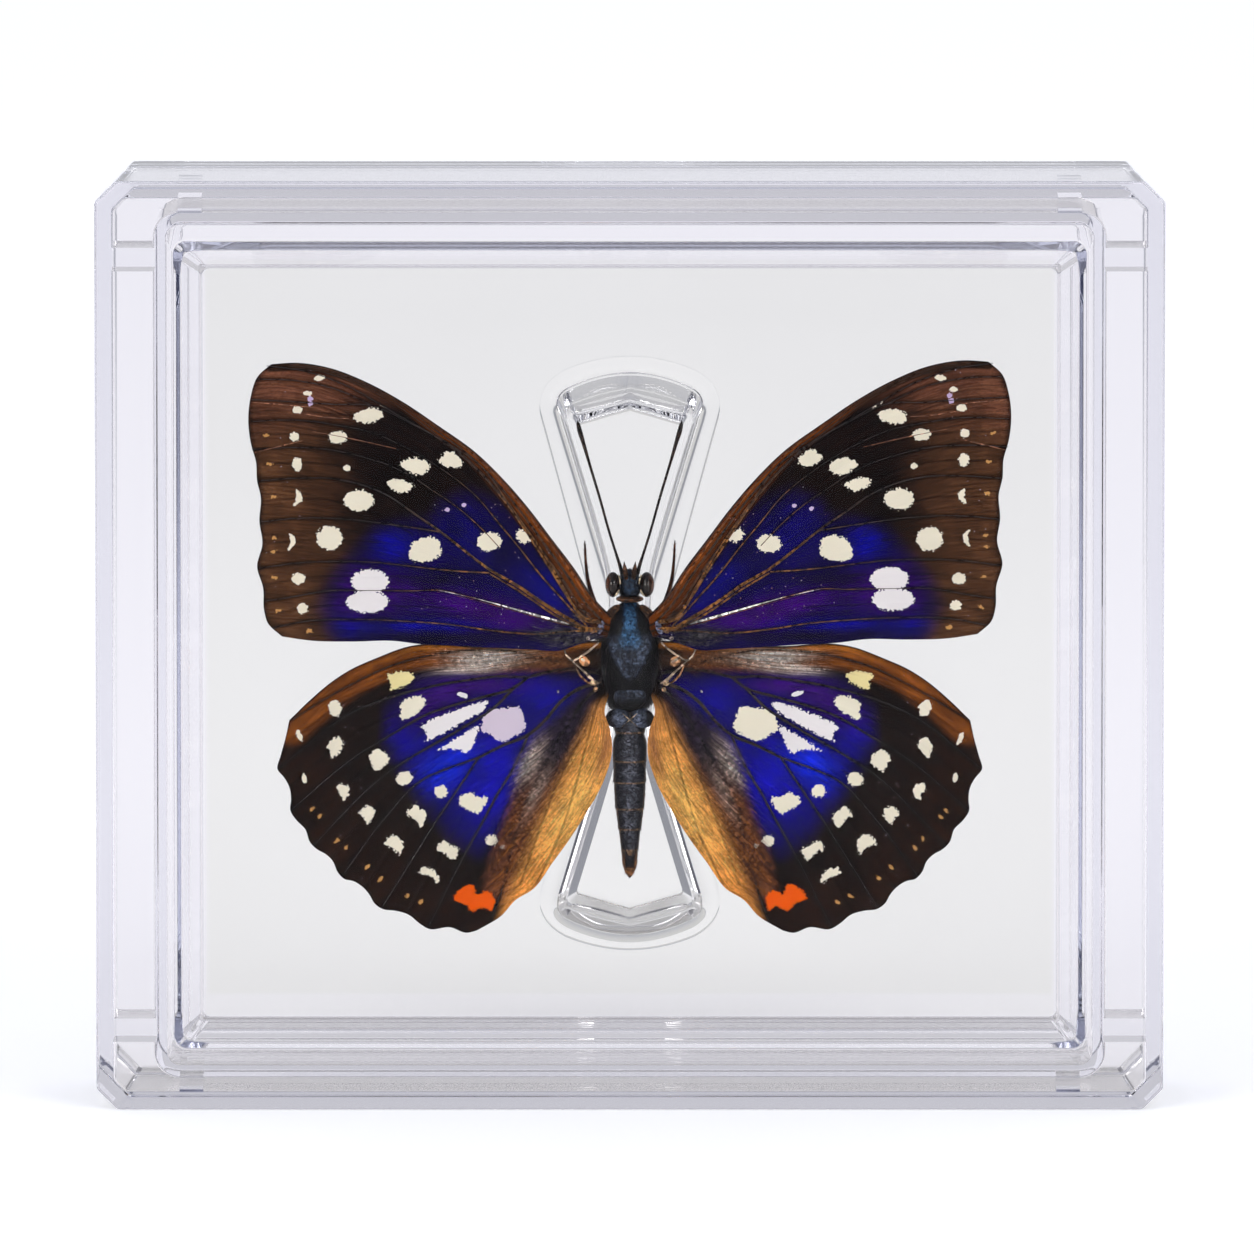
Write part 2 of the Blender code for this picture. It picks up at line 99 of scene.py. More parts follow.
sky = bpy.data.worlds.new("soft_sky")
bpy.context.scene.world = sky
sky.use_nodes = True
tree = sky.node_tree
heading = add(tree, "ShaderNodeSeparateXYZ", {0: add(tree, "ShaderNodeTexCoord").outputs["Generated"]})
backward = ramp(tree, heading.outputs["Y"], -0.25, 0.55)
upward = ramp(tree, heading.outputs["Z"], 0.0, 0.6)
sideways = ramp(tree, calc(tree, "ABSOLUTE", heading.outputs["X"]), 0.45, 0.95)
low_sky = blend(tree, backward, (0.10, 0.11, 0.17, 1), (0.78, 0.79, 0.84, 1))
low_sky = blend(tree, sideways, low_sky, (0.09, 0.10, 0.17, 1))
tree.links.new(blend(tree, upward, low_sky, (0.56, 0.58, 0.68, 1)), tree.nodes["Background"].inputs["Color"])

table_mesh = bpy.data.meshes.new("table")
signs = ((-1, -1), (1, -1), (1, 1), (-1, 1))
corners = [(TABLE_HALF * across, TABLE_HALF * along, -TABLE_DROP) for across, along in signs]
table_mesh.from_pydata(corners, [], [(0, 1, 2, 3)])
table = bpy.data.objects.new("table", table_mesh)
bpy.context.scene.collection.objects.link(table)
table_finish = bpy.data.materials.new("white_table")
table_finish.use_nodes = True
tree = table_finish.node_tree
spot = add(tree, "ShaderNodeTexCoord").outputs["Object"]
speckle = add(tree, "ShaderNodeTexNoise", {"Vector": spot, "Scale": 900.0, "Detail": 0.0}).outputs["Fac"]
shade = blend(tree, speckle, (0.89, 0.89, 0.90, 1), (0.93, 0.93, 0.935, 1))
where = add(tree, "ShaderNodeSeparateXYZ", {0: spot})
# Painted glow: the table top glows though it is no lamp, most in a pool round and behind the case, where its
# own colour is darker so that shadows on it fade.
glow_pool = ramp(tree, calc(tree, "ABSOLUTE", where.outputs["X"]), 0.35, 0.9, 1.0, 0.0)
glow_pool = calc(tree, "MULTIPLY", glow_pool, ramp(tree, where.outputs["Y"], -0.8, -0.25))
shader = tree.nodes["Principled BSDF"]
tree.links.new(blend(tree, glow_pool, (0.5, 0.51, 0.54, 1), shade), shader.inputs["Base Color"])
shader.inputs["Roughness"].default_value = 0.9
shader.inputs["Specular IOR Level"].default_value = 0.1
shader.inputs["Emission Color"].default_value = (1.0, 1.0, 1.0, 1.0)
tree.links.new(ramp(tree, glow_pool, 0.0, 1.0, 0.08, TABLE_GLOW), shader.inputs["Emission Strength"])
table_mesh.materials.append(table_finish)


def soft_box(name, place, aim, width, height, glow):
    """Flat rectangular light of an even glow; its power is pi times the area times the glow."""
    lamp = bpy.data.lights.new(name, "AREA")
    lamp.shape = "RECTANGLE"
    lamp.size = width
    lamp.size_y = height
    lamp.energy = pi * width * height * glow
    item = bpy.data.objects.new(name, lamp)
    item.location = place
    towards = Vector(aim) - Vector(place)
    item.rotation_euler = towards.to_track_quat("-Z", "Y").to_euler()
    bpy.context.scene.collection.objects.link(item)


for word, side in (("left", -1), ("right", 1)):
    soft_box("front_box_" + word, (2.2 * side, -3.2, 0.8), (0, 0, 0.06), 2.0, 1.6, BOX_GLOW)

camera_data = bpy.data.cameras.new("camera")
camera_data.lens = VIEW_LENS
camera_data.clip_end = 3 * TABLE_HALF
camera = bpy.data.objects.new("camera", camera_data)
camera.location = VIEW_AT + VIEW_DISTANCE * np.array([0, -cos(VIEW_DOWN), sin(VIEW_DOWN)])
camera.rotation_euler = (pi / 2 - VIEW_DOWN, 0, 0)
bpy.context.scene.collection.objects.link(camera)
bpy.context.scene.camera = camera

scene = bpy.context.scene
scene.view_settings.view_transform = "Standard"
scene.cycles.max_bounces = 48
scene.cycles.transmission_bounces = 26
scene.cycles.glossy_bounces = 32
scene.cycles.diffuse_bounces = 1
scene.cycles.caustics_reflective = False
scene.cycles.use_light_tree = False
scene.cycles.use_denoising = True

# The tray: one clear acrylic moulding with the back plate, the outer rim, the wall that nests
# inside the cover, and the hollow hourglass stand that carries the butterfly. Moulded edges are
# softly rounded, and the corners of the outside are cut off at 45 degrees.
CASE_WIDTH = 135 * MM
CASE_HEIGHT = 118 * MM
CASE_DEPTH = 28 * MM
FRONT = -CASE_DEPTH / 2
BACK = CASE_DEPTH / 2
OUTER_WALL = 2.1 * MM
PLATE = 1.8 * MM
PARTING = 5.85 * MM
PARTING_GAP = 0.3 * MM
CORNER_CUT_FRONT = 2.6 * MM
CORNER_CUT_BACK = 4.4 * MM
CORNER_FILLET = 0.8 * MM
CORNER_STEPS = 9
SKIRT_CORNER = 3.2 * MM
SKIRT_THICK = 1.4 * MM
TRAY_WALL_OUT = (9.4 * MM, 6.0 * MM)
TRAY_WALL_THICK = 1.2 * MM
TRAY_WALL_FRONT = 4.0 * MM
STAND_MIDDLE = 55.2
STAND_FACE = 5.0 * MM
STAND_FILLET = 1.8 * MM
STAND_BEAD = 0.4 * MM
STAND_WALL = 1.5 * MM
STAND_EDGE = 0.5 * MM
STAND_DRAW_IN = 0.018
STAND_SOFTNESS = 3.0
STAND_FOOT = {"waist": 4.3, "flare_from": 4.8, "slope": 0.275, "corner": 34.2, "rise": 3.9, "rounding": 4.2}
STAND_SHANK = {"waist": 2.3, "flare_from": 9.7, "slope": 0.303, "corner": 33.0, "rise": 2.8, "rounding": 1.5}
STAND_RIM = {
    "waist": 1.8, "flare_from": 10.4, "slope": 0.305, "corner": 31.3, "rise": 2.1, "rounding": 0.5,
    "gable": 1.0,
}
HOLLOW_MOUTH = {
    "waist": 1.6, "flare_from": 9.7, "slope": 0.303, "corner": 32.5, "rise": 2.6, "rounding": 1.2,
}
HOLLOW_END = {
    "waist": 0.8, "flare_from": 10.4, "slope": 0.305, "corner": 30.2, "rise": 2.0, "rounding": 0.4,
    "gable": 1.0,
}


def facing_out(vertices, quads, triangles):
    """Turns the faces of a closed shell outwards: its volume, summed over its faces, has to be positive."""
    middle = vertices - vertices.mean(axis=0)
    fans = np.concatenate([quads[:, [0, 1, 2]], quads[:, [0, 2, 3]], triangles])
    a, b, c = (middle[fans[:, side]] for side in range(3))
    if np.einsum("ij,ij->", a, np.cross(b, c)) < 0:
        quads, triangles = quads[:, ::-1], triangles[:, ::-1]
    return vertices, quads, triangles


def closed_tube(grid):
    """Shell over a grid of rings, wrapped round and closed on a pole in the middle of each end ring."""
    rings, sides = grid.shape[:2]
    index = np.arange(rings * sides).reshape(rings, sides)
    after = np.roll(index, -1, axis=1)
    quads = np.stack([index[:-1], after[:-1], after[1:], index[1:]], axis=-1).reshape(-1, 4)
    pole = np.full(sides, rings * sides)
    near = np.stack([pole, after[0], index[0]], axis=1)
    far = np.stack([pole + 1, index[-1], after[-1]], axis=1)
    ends = np.stack([grid[0].mean(axis=0), grid[-1].mean(axis=0)])
    return facing_out(np.concatenate([grid.reshape(-1, 3), ends]), quads, np.concatenate([near, far]))


def joined(shells):
    """Several shells in one: their faces are counted on from the vertices before them."""
    starts = np.cumsum([0] + [len(shell[0]) for shell in shells[:-1]])
    vertices = np.concatenate([shell[0] for shell in shells])
    quads = np.concatenate([shell[1] + start for shell, start in zip(shells, starts)])
    triangles = np.concatenate([shell[2] + start for shell, start in zip(shells, starts)])
    return vertices, quads, triangles


def make_object(name, shell, finish, fields=None):
    """Smooth object at the origin, with named numbers, vectors or colours on its vertices."""
    vertices, quads, triangles = shell
    mesh = bpy.data.meshes.new(name)
    mesh.from_pydata(vertices.tolist(), [], quads.tolist() + triangles.tolist())
    kinds = {1: ("FLOAT", "value"), 3: ("FLOAT_VECTOR", "vector"), 4: ("FLOAT_COLOR", "color")}
    for field, values in (fields or {}).items():
        kind, key = kinds[1 if values.ndim == 1 else values.shape[1]]
        layer = mesh.attributes.new(field, kind, "POINT")
        layer.data.foreach_set(key, values.astype(np.float32).ravel())
    mesh.shade_smooth()
    mesh.materials.append(finish)
    item = bpy.data.objects.new(name, mesh)
    bpy.context.scene.collection.objects.link(item)
    return item


def case_rings(profile):
    """Rings round the case, one for each row (side inset, top inset, depth, fillet, flat).

    Each ring is the case's rectangle moved in by its insets, and each of its corners is an arc of
    45 degrees, a flat at 45 degrees, and another arc.
    """
    side, top, depth, radius, flat = np.asarray(profile).T[..., None]
    turn = np.linspace(0, pi / 4, CORNER_STEPS)
    half_width = CASE_WIDTH / 2 - side
    half_height = CASE_HEIGHT / 2 - top
    cut = (flat + 2 * radius * tan(pi / 8)) / sqrt(2) + radius * tan(pi / 8)
    later = turn + pi / 4
    x = np.concatenate([
        half_width - radius + radius * np.cos(turn), half_width - cut + radius * np.cos(later),
    ], axis=1)
    z = np.concatenate([
        half_height - cut + radius * np.sin(turn), half_height - radius + radius * np.sin(later),
    ], axis=1)
    x = np.concatenate([x, -x[:, ::-1], -x, x[:, ::-1]], axis=1)
    z = np.concatenate([z, z[:, ::-1], -z, -z[:, ::-1]], axis=1)
    return np.stack([x, depth + 0 * x, z + CASE_HEIGHT / 2], axis=-1)


def outside(inset, depth, soft):
    """Profile corner on the outside of the case, where the flat grows from front to back."""
    share = (depth - FRONT) / CASE_DEPTH
    cut = CORNER_CUT_FRONT + share * (CORNER_CUT_BACK - CORNER_CUT_FRONT) - (2 - sqrt(2)) * inset
    flat = max(cut * sqrt(2) - 2 * CORNER_FILLET * tan(pi / 8), 0.1 * MM)
    return (inset, inset, depth, CORNER_FILLET, flat, soft)


def inside(pair, more, depth, radius, soft):
    """Profile corner on a wall inside the case, moved further in from its pair of insets."""
    return (pair[0] + more, pair[1] + more, depth, radius, 0.0, soft)


def softened(corners, steps=5):
    """Profile with rounded corners: near each one it follows a parabola between its two sides.

    A corner's last value is how far before and after it the rounding starts, at most 0.48 of a side.
    """
    data = np.array(corners)
    soft, data = data[:, -1], data[:, :-1]
    rows = [data[:1]]
    for place in range(1, len(data) - 1):
        here = data[place]
        back, ahead = data[place - 1] - here, data[place + 1] - here
        start = here + back * min(soft[place] / np.linalg.norm(back[:3]), 0.48)
        end = here + ahead * min(soft[place] / np.linalg.norm(ahead[:3]), 0.48)
        t = np.linspace(0, 1, steps)[:, None]
        rows.append((1 - t) ** 2 * start + 2 * t * (1 - t) * here + t ** 2 * end)
    rows.append(data[-1:])
    return np.concatenate(rows)


def stand_outline(waist, flare_from, slope, corner, rise, rounding, gable=0.0):
    """Hourglass outline round its waist in mm, from the middle of its foot up the right and down the left.

    The half width is the waist plus a slope times a softened ramp of the height past the flare. The
    end is a parabola, or a gable of two straight sides, and a parabola rounds off the corner.
    """
    height = np.append(np.linspace(0, corner - rounding, 31), corner)
    past = height - flare_from
    half = waist + slope * (past + np.sqrt(past ** 2 + STAND_SOFTNESS ** 2)) / 2
    across = np.linspace(1 - rounding / half[-1], 0, 16)
    crown = (1 - gable) * (1 - across ** 2) + gable * (1 - across)
    side = np.stack([half, height], axis=1)
    arc = np.stack([across * half[-1], corner + rise * crown], axis=1)
    t = np.linspace(0, 1, 9)[1:-1, None]
    bend = (1 - t) ** 2 * side[-2] + 2 * t * (1 - t) * side[-1] + t ** 2 * arc[0]
    quarter = np.concatenate([side[:-1], bend, arc])
    right = np.concatenate([quarter[:0:-1] * (1, -1), quarter])
    return np.concatenate([right, right[-2:0:-1] * (-1, 1)])


def stand_shell(levels):
    """Shell through levels (depth, outline), each end closed by rungs from its right to its left side."""
    rings = np.array([np.column_stack([out * MM, 0 * out + depth, (up + STAND_MIDDLE) * MM])
                      for depth, (out, up) in ((depth, outline.T) for depth, outline in levels)])
    count, sides = rings.shape[:2]
    index = np.arange(count * sides).reshape(count, sides)
    after = np.roll(index, -1, axis=1)
    quads = np.stack([index[:-1], after[:-1], after[1:], index[1:]], axis=-1).reshape(-1, 4)
    right = np.arange(1, sides // 2 - 1)
    rungs = np.stack([right + 1, right, sides - right, sides - right - 1], axis=1)
    tips = np.array([(1, 0, sides - 1), (sides // 2, sides // 2 - 1, sides // 2 + 1)])
    last = (count - 1) * sides
    quads = np.concatenate([quads, rungs, rungs[:, ::-1] + last])
    return facing_out(rings.reshape(-1, 3), quads, np.concatenate([tips, tips[:, ::-1] + last]))


def carved(item, steps):
    """Applies Booleans to an object one by one, and takes the helpers away again."""
    for operation, helper in steps:
        cut = item.modifiers.new(operation.title(), "BOOLEAN")
        cut.operation = operation
        cut.solver = "EXACT"
        cut.object = helper
    solved = bpy.data.meshes.new_from_object(item.evaluated_get(bpy.context.evaluated_depsgraph_get()))
    item.modifiers.clear()
    item.data = solved
    solved.name = item.name
    for operation, helper in steps:
        bpy.data.objects.remove(helper)


def even_shading(item):
    """Smooth shading that keeps large faces flat, with normals weighed by the faces' area."""
    item.data.shade_smooth()
    item.data.set_sharp_from_angle(angle=radians(38))
    weigh = item.modifiers.new("Area normals", "WEIGHTED_NORMAL")
    weigh.mode = "FACE_AREA"
    weigh.keep_sharp = True


acrylic = bpy.data.materials.new("clear_acrylic")
acrylic.use_nodes = True
tree = acrylic.node_tree
spot = add(tree, "ShaderNodeTexCoord").outputs["Object"]
where = add(tree, "ShaderNodeSeparateXYZ", {0: spot})
# Painted shade: inside the window the plastic takes a darker, warmer tint than the border, standing in for
# the grey shade seen inside the case; a little noise varies it.
from_middle = calc(tree, "ABSOLUTE", calc(tree, "SUBTRACT", where.outputs["Z"], CASE_HEIGHT / 2))
across = ramp(tree, calc(tree, "ABSOLUTE", where.outputs["X"]), 53.5 * MM, 54.3 * MM, 1.0, 0.0)
window = calc(tree, "MULTIPLY", across, ramp(tree, from_middle, 47.2 * MM, 48.0 * MM, 1.0, 0.0))
window_shade_noise = add(tree, "ShaderNodeTexNoise", {"Vector": spot, "Scale": 40.0, "Detail": 0.0}).outputs["Fac"]
shaded = blend(tree, window_shade_noise, (0.885, 0.876, 0.846, 1), (0.905, 0.896, 0.866, 1))
shader = tree.nodes["Principled BSDF"]
tree.links.new(blend(tree, window, (0.925, 0.912, 0.908, 1), shaded), shader.inputs["Base Color"])
shader.inputs["Roughness"].default_value = 0.0
shader.inputs["Transmission Weight"].default_value = 1.0
shader.inputs["IOR"].default_value = 1.49
shader.inputs["Specular Tint"].default_value = (0.1, 0.1, 0.11, 1)
absorb = add(tree, "ShaderNodeVolumeAbsorption", {"Color": (0.42, 0.45, 0.61, 1), "Density": 9.0})
tree.links.new(absorb.outputs[0], tree.nodes["Material Output"].inputs["Volume"])

plate_face = BACK - PLATE
tray_rim = PARTING + PARTING_GAP / 2
tray_foot = SKIRT_CORNER - SKIRT_THICK
tray_inner = tray_foot - 0.8 * MM
tray_profile = softened([
    outside(30 * MM, BACK, 0.0),
    outside(0.0, BACK, 0.5 * MM),
    outside(0.0, tray_rim, 0.3 * MM),
    outside(OUTER_WALL, tray_rim, 0.3 * MM),
    outside(OUTER_WALL, plate_face, 0.5 * MM),
    inside(TRAY_WALL_OUT, 0.0, plate_face, tray_foot, 0.25 * MM),
    inside(TRAY_WALL_OUT, 0.0, TRAY_WALL_FRONT, tray_foot, 0.3 * MM),
    inside(TRAY_WALL_OUT, TRAY_WALL_THICK, TRAY_WALL_FRONT, tray_inner, 0.3 * MM),
    inside(TRAY_WALL_OUT, TRAY_WALL_THICK, plate_face, tray_inner, 0.25 * MM),
    inside(TRAY_WALL_OUT, 20 * MM, plate_face, 2 * MM, 0.0),
])
tray = make_object("clear_tray", closed_tube(case_rings(tray_profile)), acrylic)
foot, shank, rim = (stand_outline(**shape) for shape in (STAND_FOOT, STAND_SHANK, STAND_RIM))
mouth, end = stand_outline(**HOLLOW_MOUTH), stand_outline(**HOLLOW_END)
levels = [(BACK - PLATE / 2, foot)]
step = foot + 0.3 * (shank - foot)
for bend in np.linspace(0, pi / 2, 5):
    levels.append((plate_face - STAND_BEAD * sin(bend), foot + 0.5 * (1 - cos(bend)) * (step - foot)))
for bend in np.linspace(pi / 18, pi / 2, 9):
    depth = plate_face - STAND_BEAD - STAND_FILLET * (1 - cos(bend))
    levels.append((depth, step + (shank - step) * sin(bend)))
for bend in np.linspace(0, pi / 2, 5):
    levels.append((STAND_FACE + STAND_EDGE * (1 - sin(bend)), rim * (1 - STAND_DRAW_IN * (1 - cos(bend)))))
boss = make_object("stand_boss", stand_shell(levels), acrylic)
levels = [(BACK + 1.0 * MM, mouth)]
for bend in np.linspace(0, pi / 2, 5):
    depth = STAND_FACE + STAND_WALL + STAND_EDGE * (1 - sin(bend))
    levels.append((depth, end * (1 - STAND_DRAW_IN * (1 - cos(bend)))))
hollow = make_object("stand_hollow", stand_shell(levels), acrylic)
carved(tray, [("UNION", boss), ("DIFFERENCE", hollow)])
even_shading(tray)
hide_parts("case_back")
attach(tray, "root")

# The thorax: the barrel of the body between the wings, black and shiny under short lead-blue
# scales along the middle, with brown collar lobes, a flap of blue-grey scales over each wing
# joint, and grey and black hairs laid back along it.
THORAX = [
    (63.3, 0.7, 0.8, 0.1), (62.7, 1.3, 1.4, 0.2), (62.0, 2.3, 2.4, 0.3), (60.8, 3.2, 3.3, 0.5),
    (59.0, 3.9, 3.9, 0.6), (57.0, 4.05, 4.1, 0.6), (55.0, 4.0, 4.1, 0.6), (53.0, 3.7, 3.8, 0.7),
    (51.2, 3.2, 3.3, 0.8), (49.9, 2.6, 2.6, 0.9), (49.2, 1.7, 1.8, 1.0),
]
THORAX_BLACK = (10, 9, 12)
STEEL_BLUE = (50, 86, 124)
SHIELD_GREY = (60, 68, 86)
COLLAR_BROWN = (78, 52, 34)
FLAP_GREY = (92, 94, 116)
SIDE_GREY = (84, 84, 90)
FRINGE_GREY = (78, 73, 70)
FRINGE_BLACK = (26, 22, 22)
COAT_HAIRS = 4200
FRINGE_HAIRS = 1200
chance = np.random.default_rng(24)


def smooth_curve(points, where):
    """Smooth cubic curve through points, read at shares of its length along the chords."""
    knots = np.array(points, dtype=float)
    at = np.concatenate([[0.0], np.cumsum(np.linalg.norm(np.diff(knots, axis=0), axis=1))])
    at = at / at[-1]
    slope = np.gradient(knots, at, axis=0)
    place = np.clip(np.searchsorted(at, where, side="right") - 1, 0, len(at) - 2)
    span = (at[place + 1] - at[place])[:, None]
    t = (where - at[place])[:, None] / span
    start = (2 * t ** 3 - 3 * t ** 2 + 1) * knots[place] + (t ** 3 - 2 * t ** 2 + t) * span * slope[place]
    end = (3 * t ** 2 - 2 * t ** 3) * knots[place + 1] + (t ** 3 - t ** 2) * span * slope[place + 1]
    return start + end


def barrel(stations, rings, sides):
    """Rings down a body: at each height an ellipse round the body's own middle line."""
    height, half_width, half_depth, middle = smooth_curve(stations, np.linspace(0, 1, rings)).T[..., None]
    turn = np.linspace(0, 2 * pi, sides, endpoint=False)
    x = np.abs(half_width) * np.cos(turn)
    return np.stack([x, middle + np.abs(half_depth) * np.sin(turn), height + 0 * x], axis=-1) * MM


def ball(middle, half, rings=18, sides=26, lean=0.0):
    """Rings of an ellipsoid from pole to pole, leant over in the plane of the wings."""
    down = np.linspace(0.06, pi - 0.06, rings)[:, None]
    turn = np.linspace(0, 2 * pi, sides, endpoint=False)
    x = half[0] * np.sin(down) * np.cos(turn)
    y = half[1] * np.sin(down) * np.sin(turn)
    z = half[2] * np.cos(down) + 0 * turn
    leant = np.stack([x * cos(lean) - z * sin(lean), y, x * sin(lean) + z * cos(lean)], axis=-1)
    return (leant + np.array(middle)) * MM


def soft_step(value, low, high):
    """S curve from 0 below low to 1 above high."""
    t = np.clip((value - low) / (high - low), 0, 1)
    return t * t * (3 - 2 * t)


def tinted(base, *layers):
    """Colours on points: a base, then each (share, colour) laid over it, as linear values with alpha."""
    colour = np.ones(np.shape(layers[0][0]) + (4,))
    colour[..., :3] = linear(*base)
    for share, top in layers:
        colour[..., :3] += np.clip(share, 0, 1)[..., None] * (np.array(linear(*top)) - colour[..., :3])
    return colour


def ring_tints(colours):
    """Colours of a tube's rings, followed by those of its two poles, as closed_tube counts them."""
    return np.concatenate([colours.reshape(-1, 4), colours[0, :1], colours[-1, :1]])


def plain_tint(shell, tone):
    """One screen colour for every vertex of a shell."""
    return np.tile((*linear(*tone), 1.0), (len(shell[0]), 1))


def grid_frame(grid, wrap=True):
    """Unit directions out of, and down, a grid of points, from the differences between neighbours.

    The outward one is turned away from the middle of a tube's rings, or to the front of a sheet.
    """
    down = np.gradient(grid, axis=0)
    if wrap:
        around = np.roll(grid, -1, axis=1) - np.roll(grid, 1, axis=1)
        away = grid - grid.mean(axis=1, keepdims=True)
    else:
        around = np.gradient(grid, axis=1)
        away = np.broadcast_to((0.0, -1.0, 0.0), grid.shape)
    out = np.cross(around, down)
    out /= np.linalg.norm(out, axis=-1, keepdims=True) + 1e-12
    out *= np.sign(np.einsum("ijk,ijk->ij", out, away))[..., None]
    down = down / (np.linalg.norm(down, axis=-1, keepdims=True) + 1e-12)
    return out, down


def hairs(grid, out, down, count, length, lift, spread, width, density=None):
    """Bent three-sided hairs on a grid, thinning to a tip, as one shell with the cell of each hair.

    A hair leaves its root along the grid's down direction, lifted towards its outward direction
    by lift, turned at random by spread, and sinks back in its outer half.
    """
    rows, columns = grid.shape[:2]
    weight = np.ones((rows, columns)) if density is None else density
    weight = weight[:-1, :-1].ravel()
    cell = chance.choice(len(weight), count, p=weight / weight.sum())
    row, column = cell // (columns - 1), cell % (columns - 1)
    share = chance.random((2, count, 1))
    root = (1 - share[0]) * grid[row, column] + share[0] * grid[row + 1, column]
    root = root + share[1] * (grid[row, column + 1] - grid[row, column])
    outward, along = out[row, column], down[row, column]
    long = length * (0.55 + 0.9 * chance.random((count, 1)))
    heading = along + lift * outward + spread * chance.normal(size=(count, 3))
    heading /= np.linalg.norm(heading, axis=1, keepdims=True)
    side = np.cross(heading, outward)
    side /= np.linalg.norm(side, axis=1, keepdims=True) + 1e-12
    over = np.cross(side, heading)
    turn = np.array([0.0, 2 * pi / 3, 4 * pi / 3])
    ring = np.cos(turn)[None, :, None] * side[:, None] + np.sin(turn)[None, :, None] * over[:, None]
    foot = root - 0.05 * long * outward
    middle = root + 0.5 * long * heading + 0.04 * long * outward
    tip = root + long * heading - 0.12 * long * outward
    points = np.concatenate([
        foot[:, None] + ring * width, middle[:, None] + ring * width * 0.75, tip[:, None],
    ], axis=1)
    start = 7 * np.arange(count)[:, None, None]
    quads = (np.array([[0, 1, 4, 3], [1, 2, 5, 4], [2, 0, 3, 5]]) + start).reshape(-1, 4)
    triangles = (np.array([[0, 2, 1], [3, 4, 6], [4, 5, 6], [5, 3, 6]]) + start).reshape(-1, 3)
    shell = facing_out(points.reshape(-1, 3), quads, triangles)
    return shell, (row, column)


def hair_colours(cell_colours, scatter):
    """Colour of each hair on its seven vertices, made lighter or darker at random."""
    tone = 1 + scatter * chance.normal(size=(len(cell_colours), 1))
    colours = cell_colours.copy()
    colours[:, :3] = np.clip(colours[:, :3] * np.clip(tone, 0.3, 2.5), 0, 1)
    return np.repeat(colours, 7, axis=0)


def grey(tree, value):
    """Grey colour of a single number."""
    return add(tree, "ShaderNodeCombineXYZ", {0: value, 1: value, 2: value}).outputs[0]


def body_finish(name, rough, grain, relief, shine, patchy=3.4):
    """Material that takes its colour from the vertices, made lighter and darker by single scales."""
    finish = bpy.data.materials.new(name)
    finish.use_nodes = True
    tree = finish.node_tree
    spot = add(tree, "ShaderNodeTexCoord").outputs["Object"]
    tint = add(tree, "ShaderNodeAttribute", attribute_name="tint").outputs["Color"]
    scale = add(tree, "ShaderNodeTexVoronoi", {"Vector": spot, "Scale": grain})
    shade = add(tree, "ShaderNodeSeparateXYZ", {0: scale.outputs["Color"]}).outputs["X"]
    cloud = add(tree, "ShaderNodeTexNoise", {"Vector": spot, "Scale": 0.25 * grain, "Detail": 1.0})
    cloudy = ramp(tree, cloud.outputs["Fac"], 0.3, 0.7, 1.0, patchy)
    light = calc(tree, "MULTIPLY", calc(tree, "POWER", shade, 1.6), cloudy)
    light = grey(tree, calc(tree, "ADD", light, 0.25))
    shader = tree.nodes["Principled BSDF"]
    tree.links.new(blend(tree, 1.0, tint, light, "MULTIPLY"), shader.inputs["Base Color"])
    tree.links.new(calc(tree, "MULTIPLY_ADD", shade, 0.24, rough - 0.12), shader.inputs["Roughness"])
    height = scale.outputs["Distance"]
    bump = add(tree, "ShaderNodeBump", {"Height": height, "Distance": relief, "Strength": 0.8})
    tree.links.new(bump.outputs[0], shader.inputs["Normal"])
    shader.inputs["Specular IOR Level"].default_value = shine
    return finish


thorax_skin = body_finish("thorax_scales", 0.4, 3800.0, 0.05 * MM, 0.16)
hair_finish = body_finish("body_hair", 0.45, 3000.0, 0.01 * MM, 0.1)
barrel_grid = barrel(THORAX, 150, 132)
x_mm, y_mm, z_mm = np.moveaxis(barrel_grid / MM, -1, 0)
across = np.abs(x_mm)
ahead = soft_step(-y_mm, -1.0, 1.5)
shield_half = np.interp(z_mm, (53.1, 54.0, 55.5, 57.5, 60.0), (0.05, 1.0, 2.0, 2.9, 3.4))
v_groove = np.exp(-((across - shield_half) / 0.17) ** 2)
v_groove *= soft_step(z_mm, 52.9, 53.4) * soft_step(z_mm, 60.0, 58.5)
mid_groove = np.exp(-(x_mm / 0.15) ** 2) * soft_step(z_mm, 53.4, 54.4) * soft_step(z_mm, 58.4, 57.0)
barrel_grid[..., 1] += ahead * (0.24 * v_groove + 0.12 * mid_groove) * MM
stripe_half = np.interp(z_mm, (57.0, 58.8, 60.4, 63.0), (1.5, 1.35, 0.75, 0.7))
stripe = ahead * soft_step(z_mm, 57.0, 58.6) * np.exp(-(across / stripe_half) ** 4)
shield = ahead * soft_step(shield_half - across, 0.0, 0.6)
shield *= soft_step(z_mm, 53.2, 54.4) * soft_step(z_mm, 59.8, 57.6)
collar = ahead * soft_step(across, 1.6, 2.3) * soft_step(z_mm, 60.8, 61.6)
lower_side = soft_step(across, 2.7, 3.5) * soft_step(z_mm, 57.0, 53.5)
thorax_colours = tinted(
    THORAX_BLACK, (0.8 * shield, SHIELD_GREY), (0.9 * stripe, STEEL_BLUE), (0.8 * collar, COLLAR_BROWN),
    (0.4 * lower_side, SIDE_GREY), (0.85 * ahead * np.clip(v_groove + 0.6 * mid_groove, 0, 1), THORAX_BLACK),
)
shells = [closed_tube(barrel_grid)]
colours = [ring_tints(thorax_colours)]
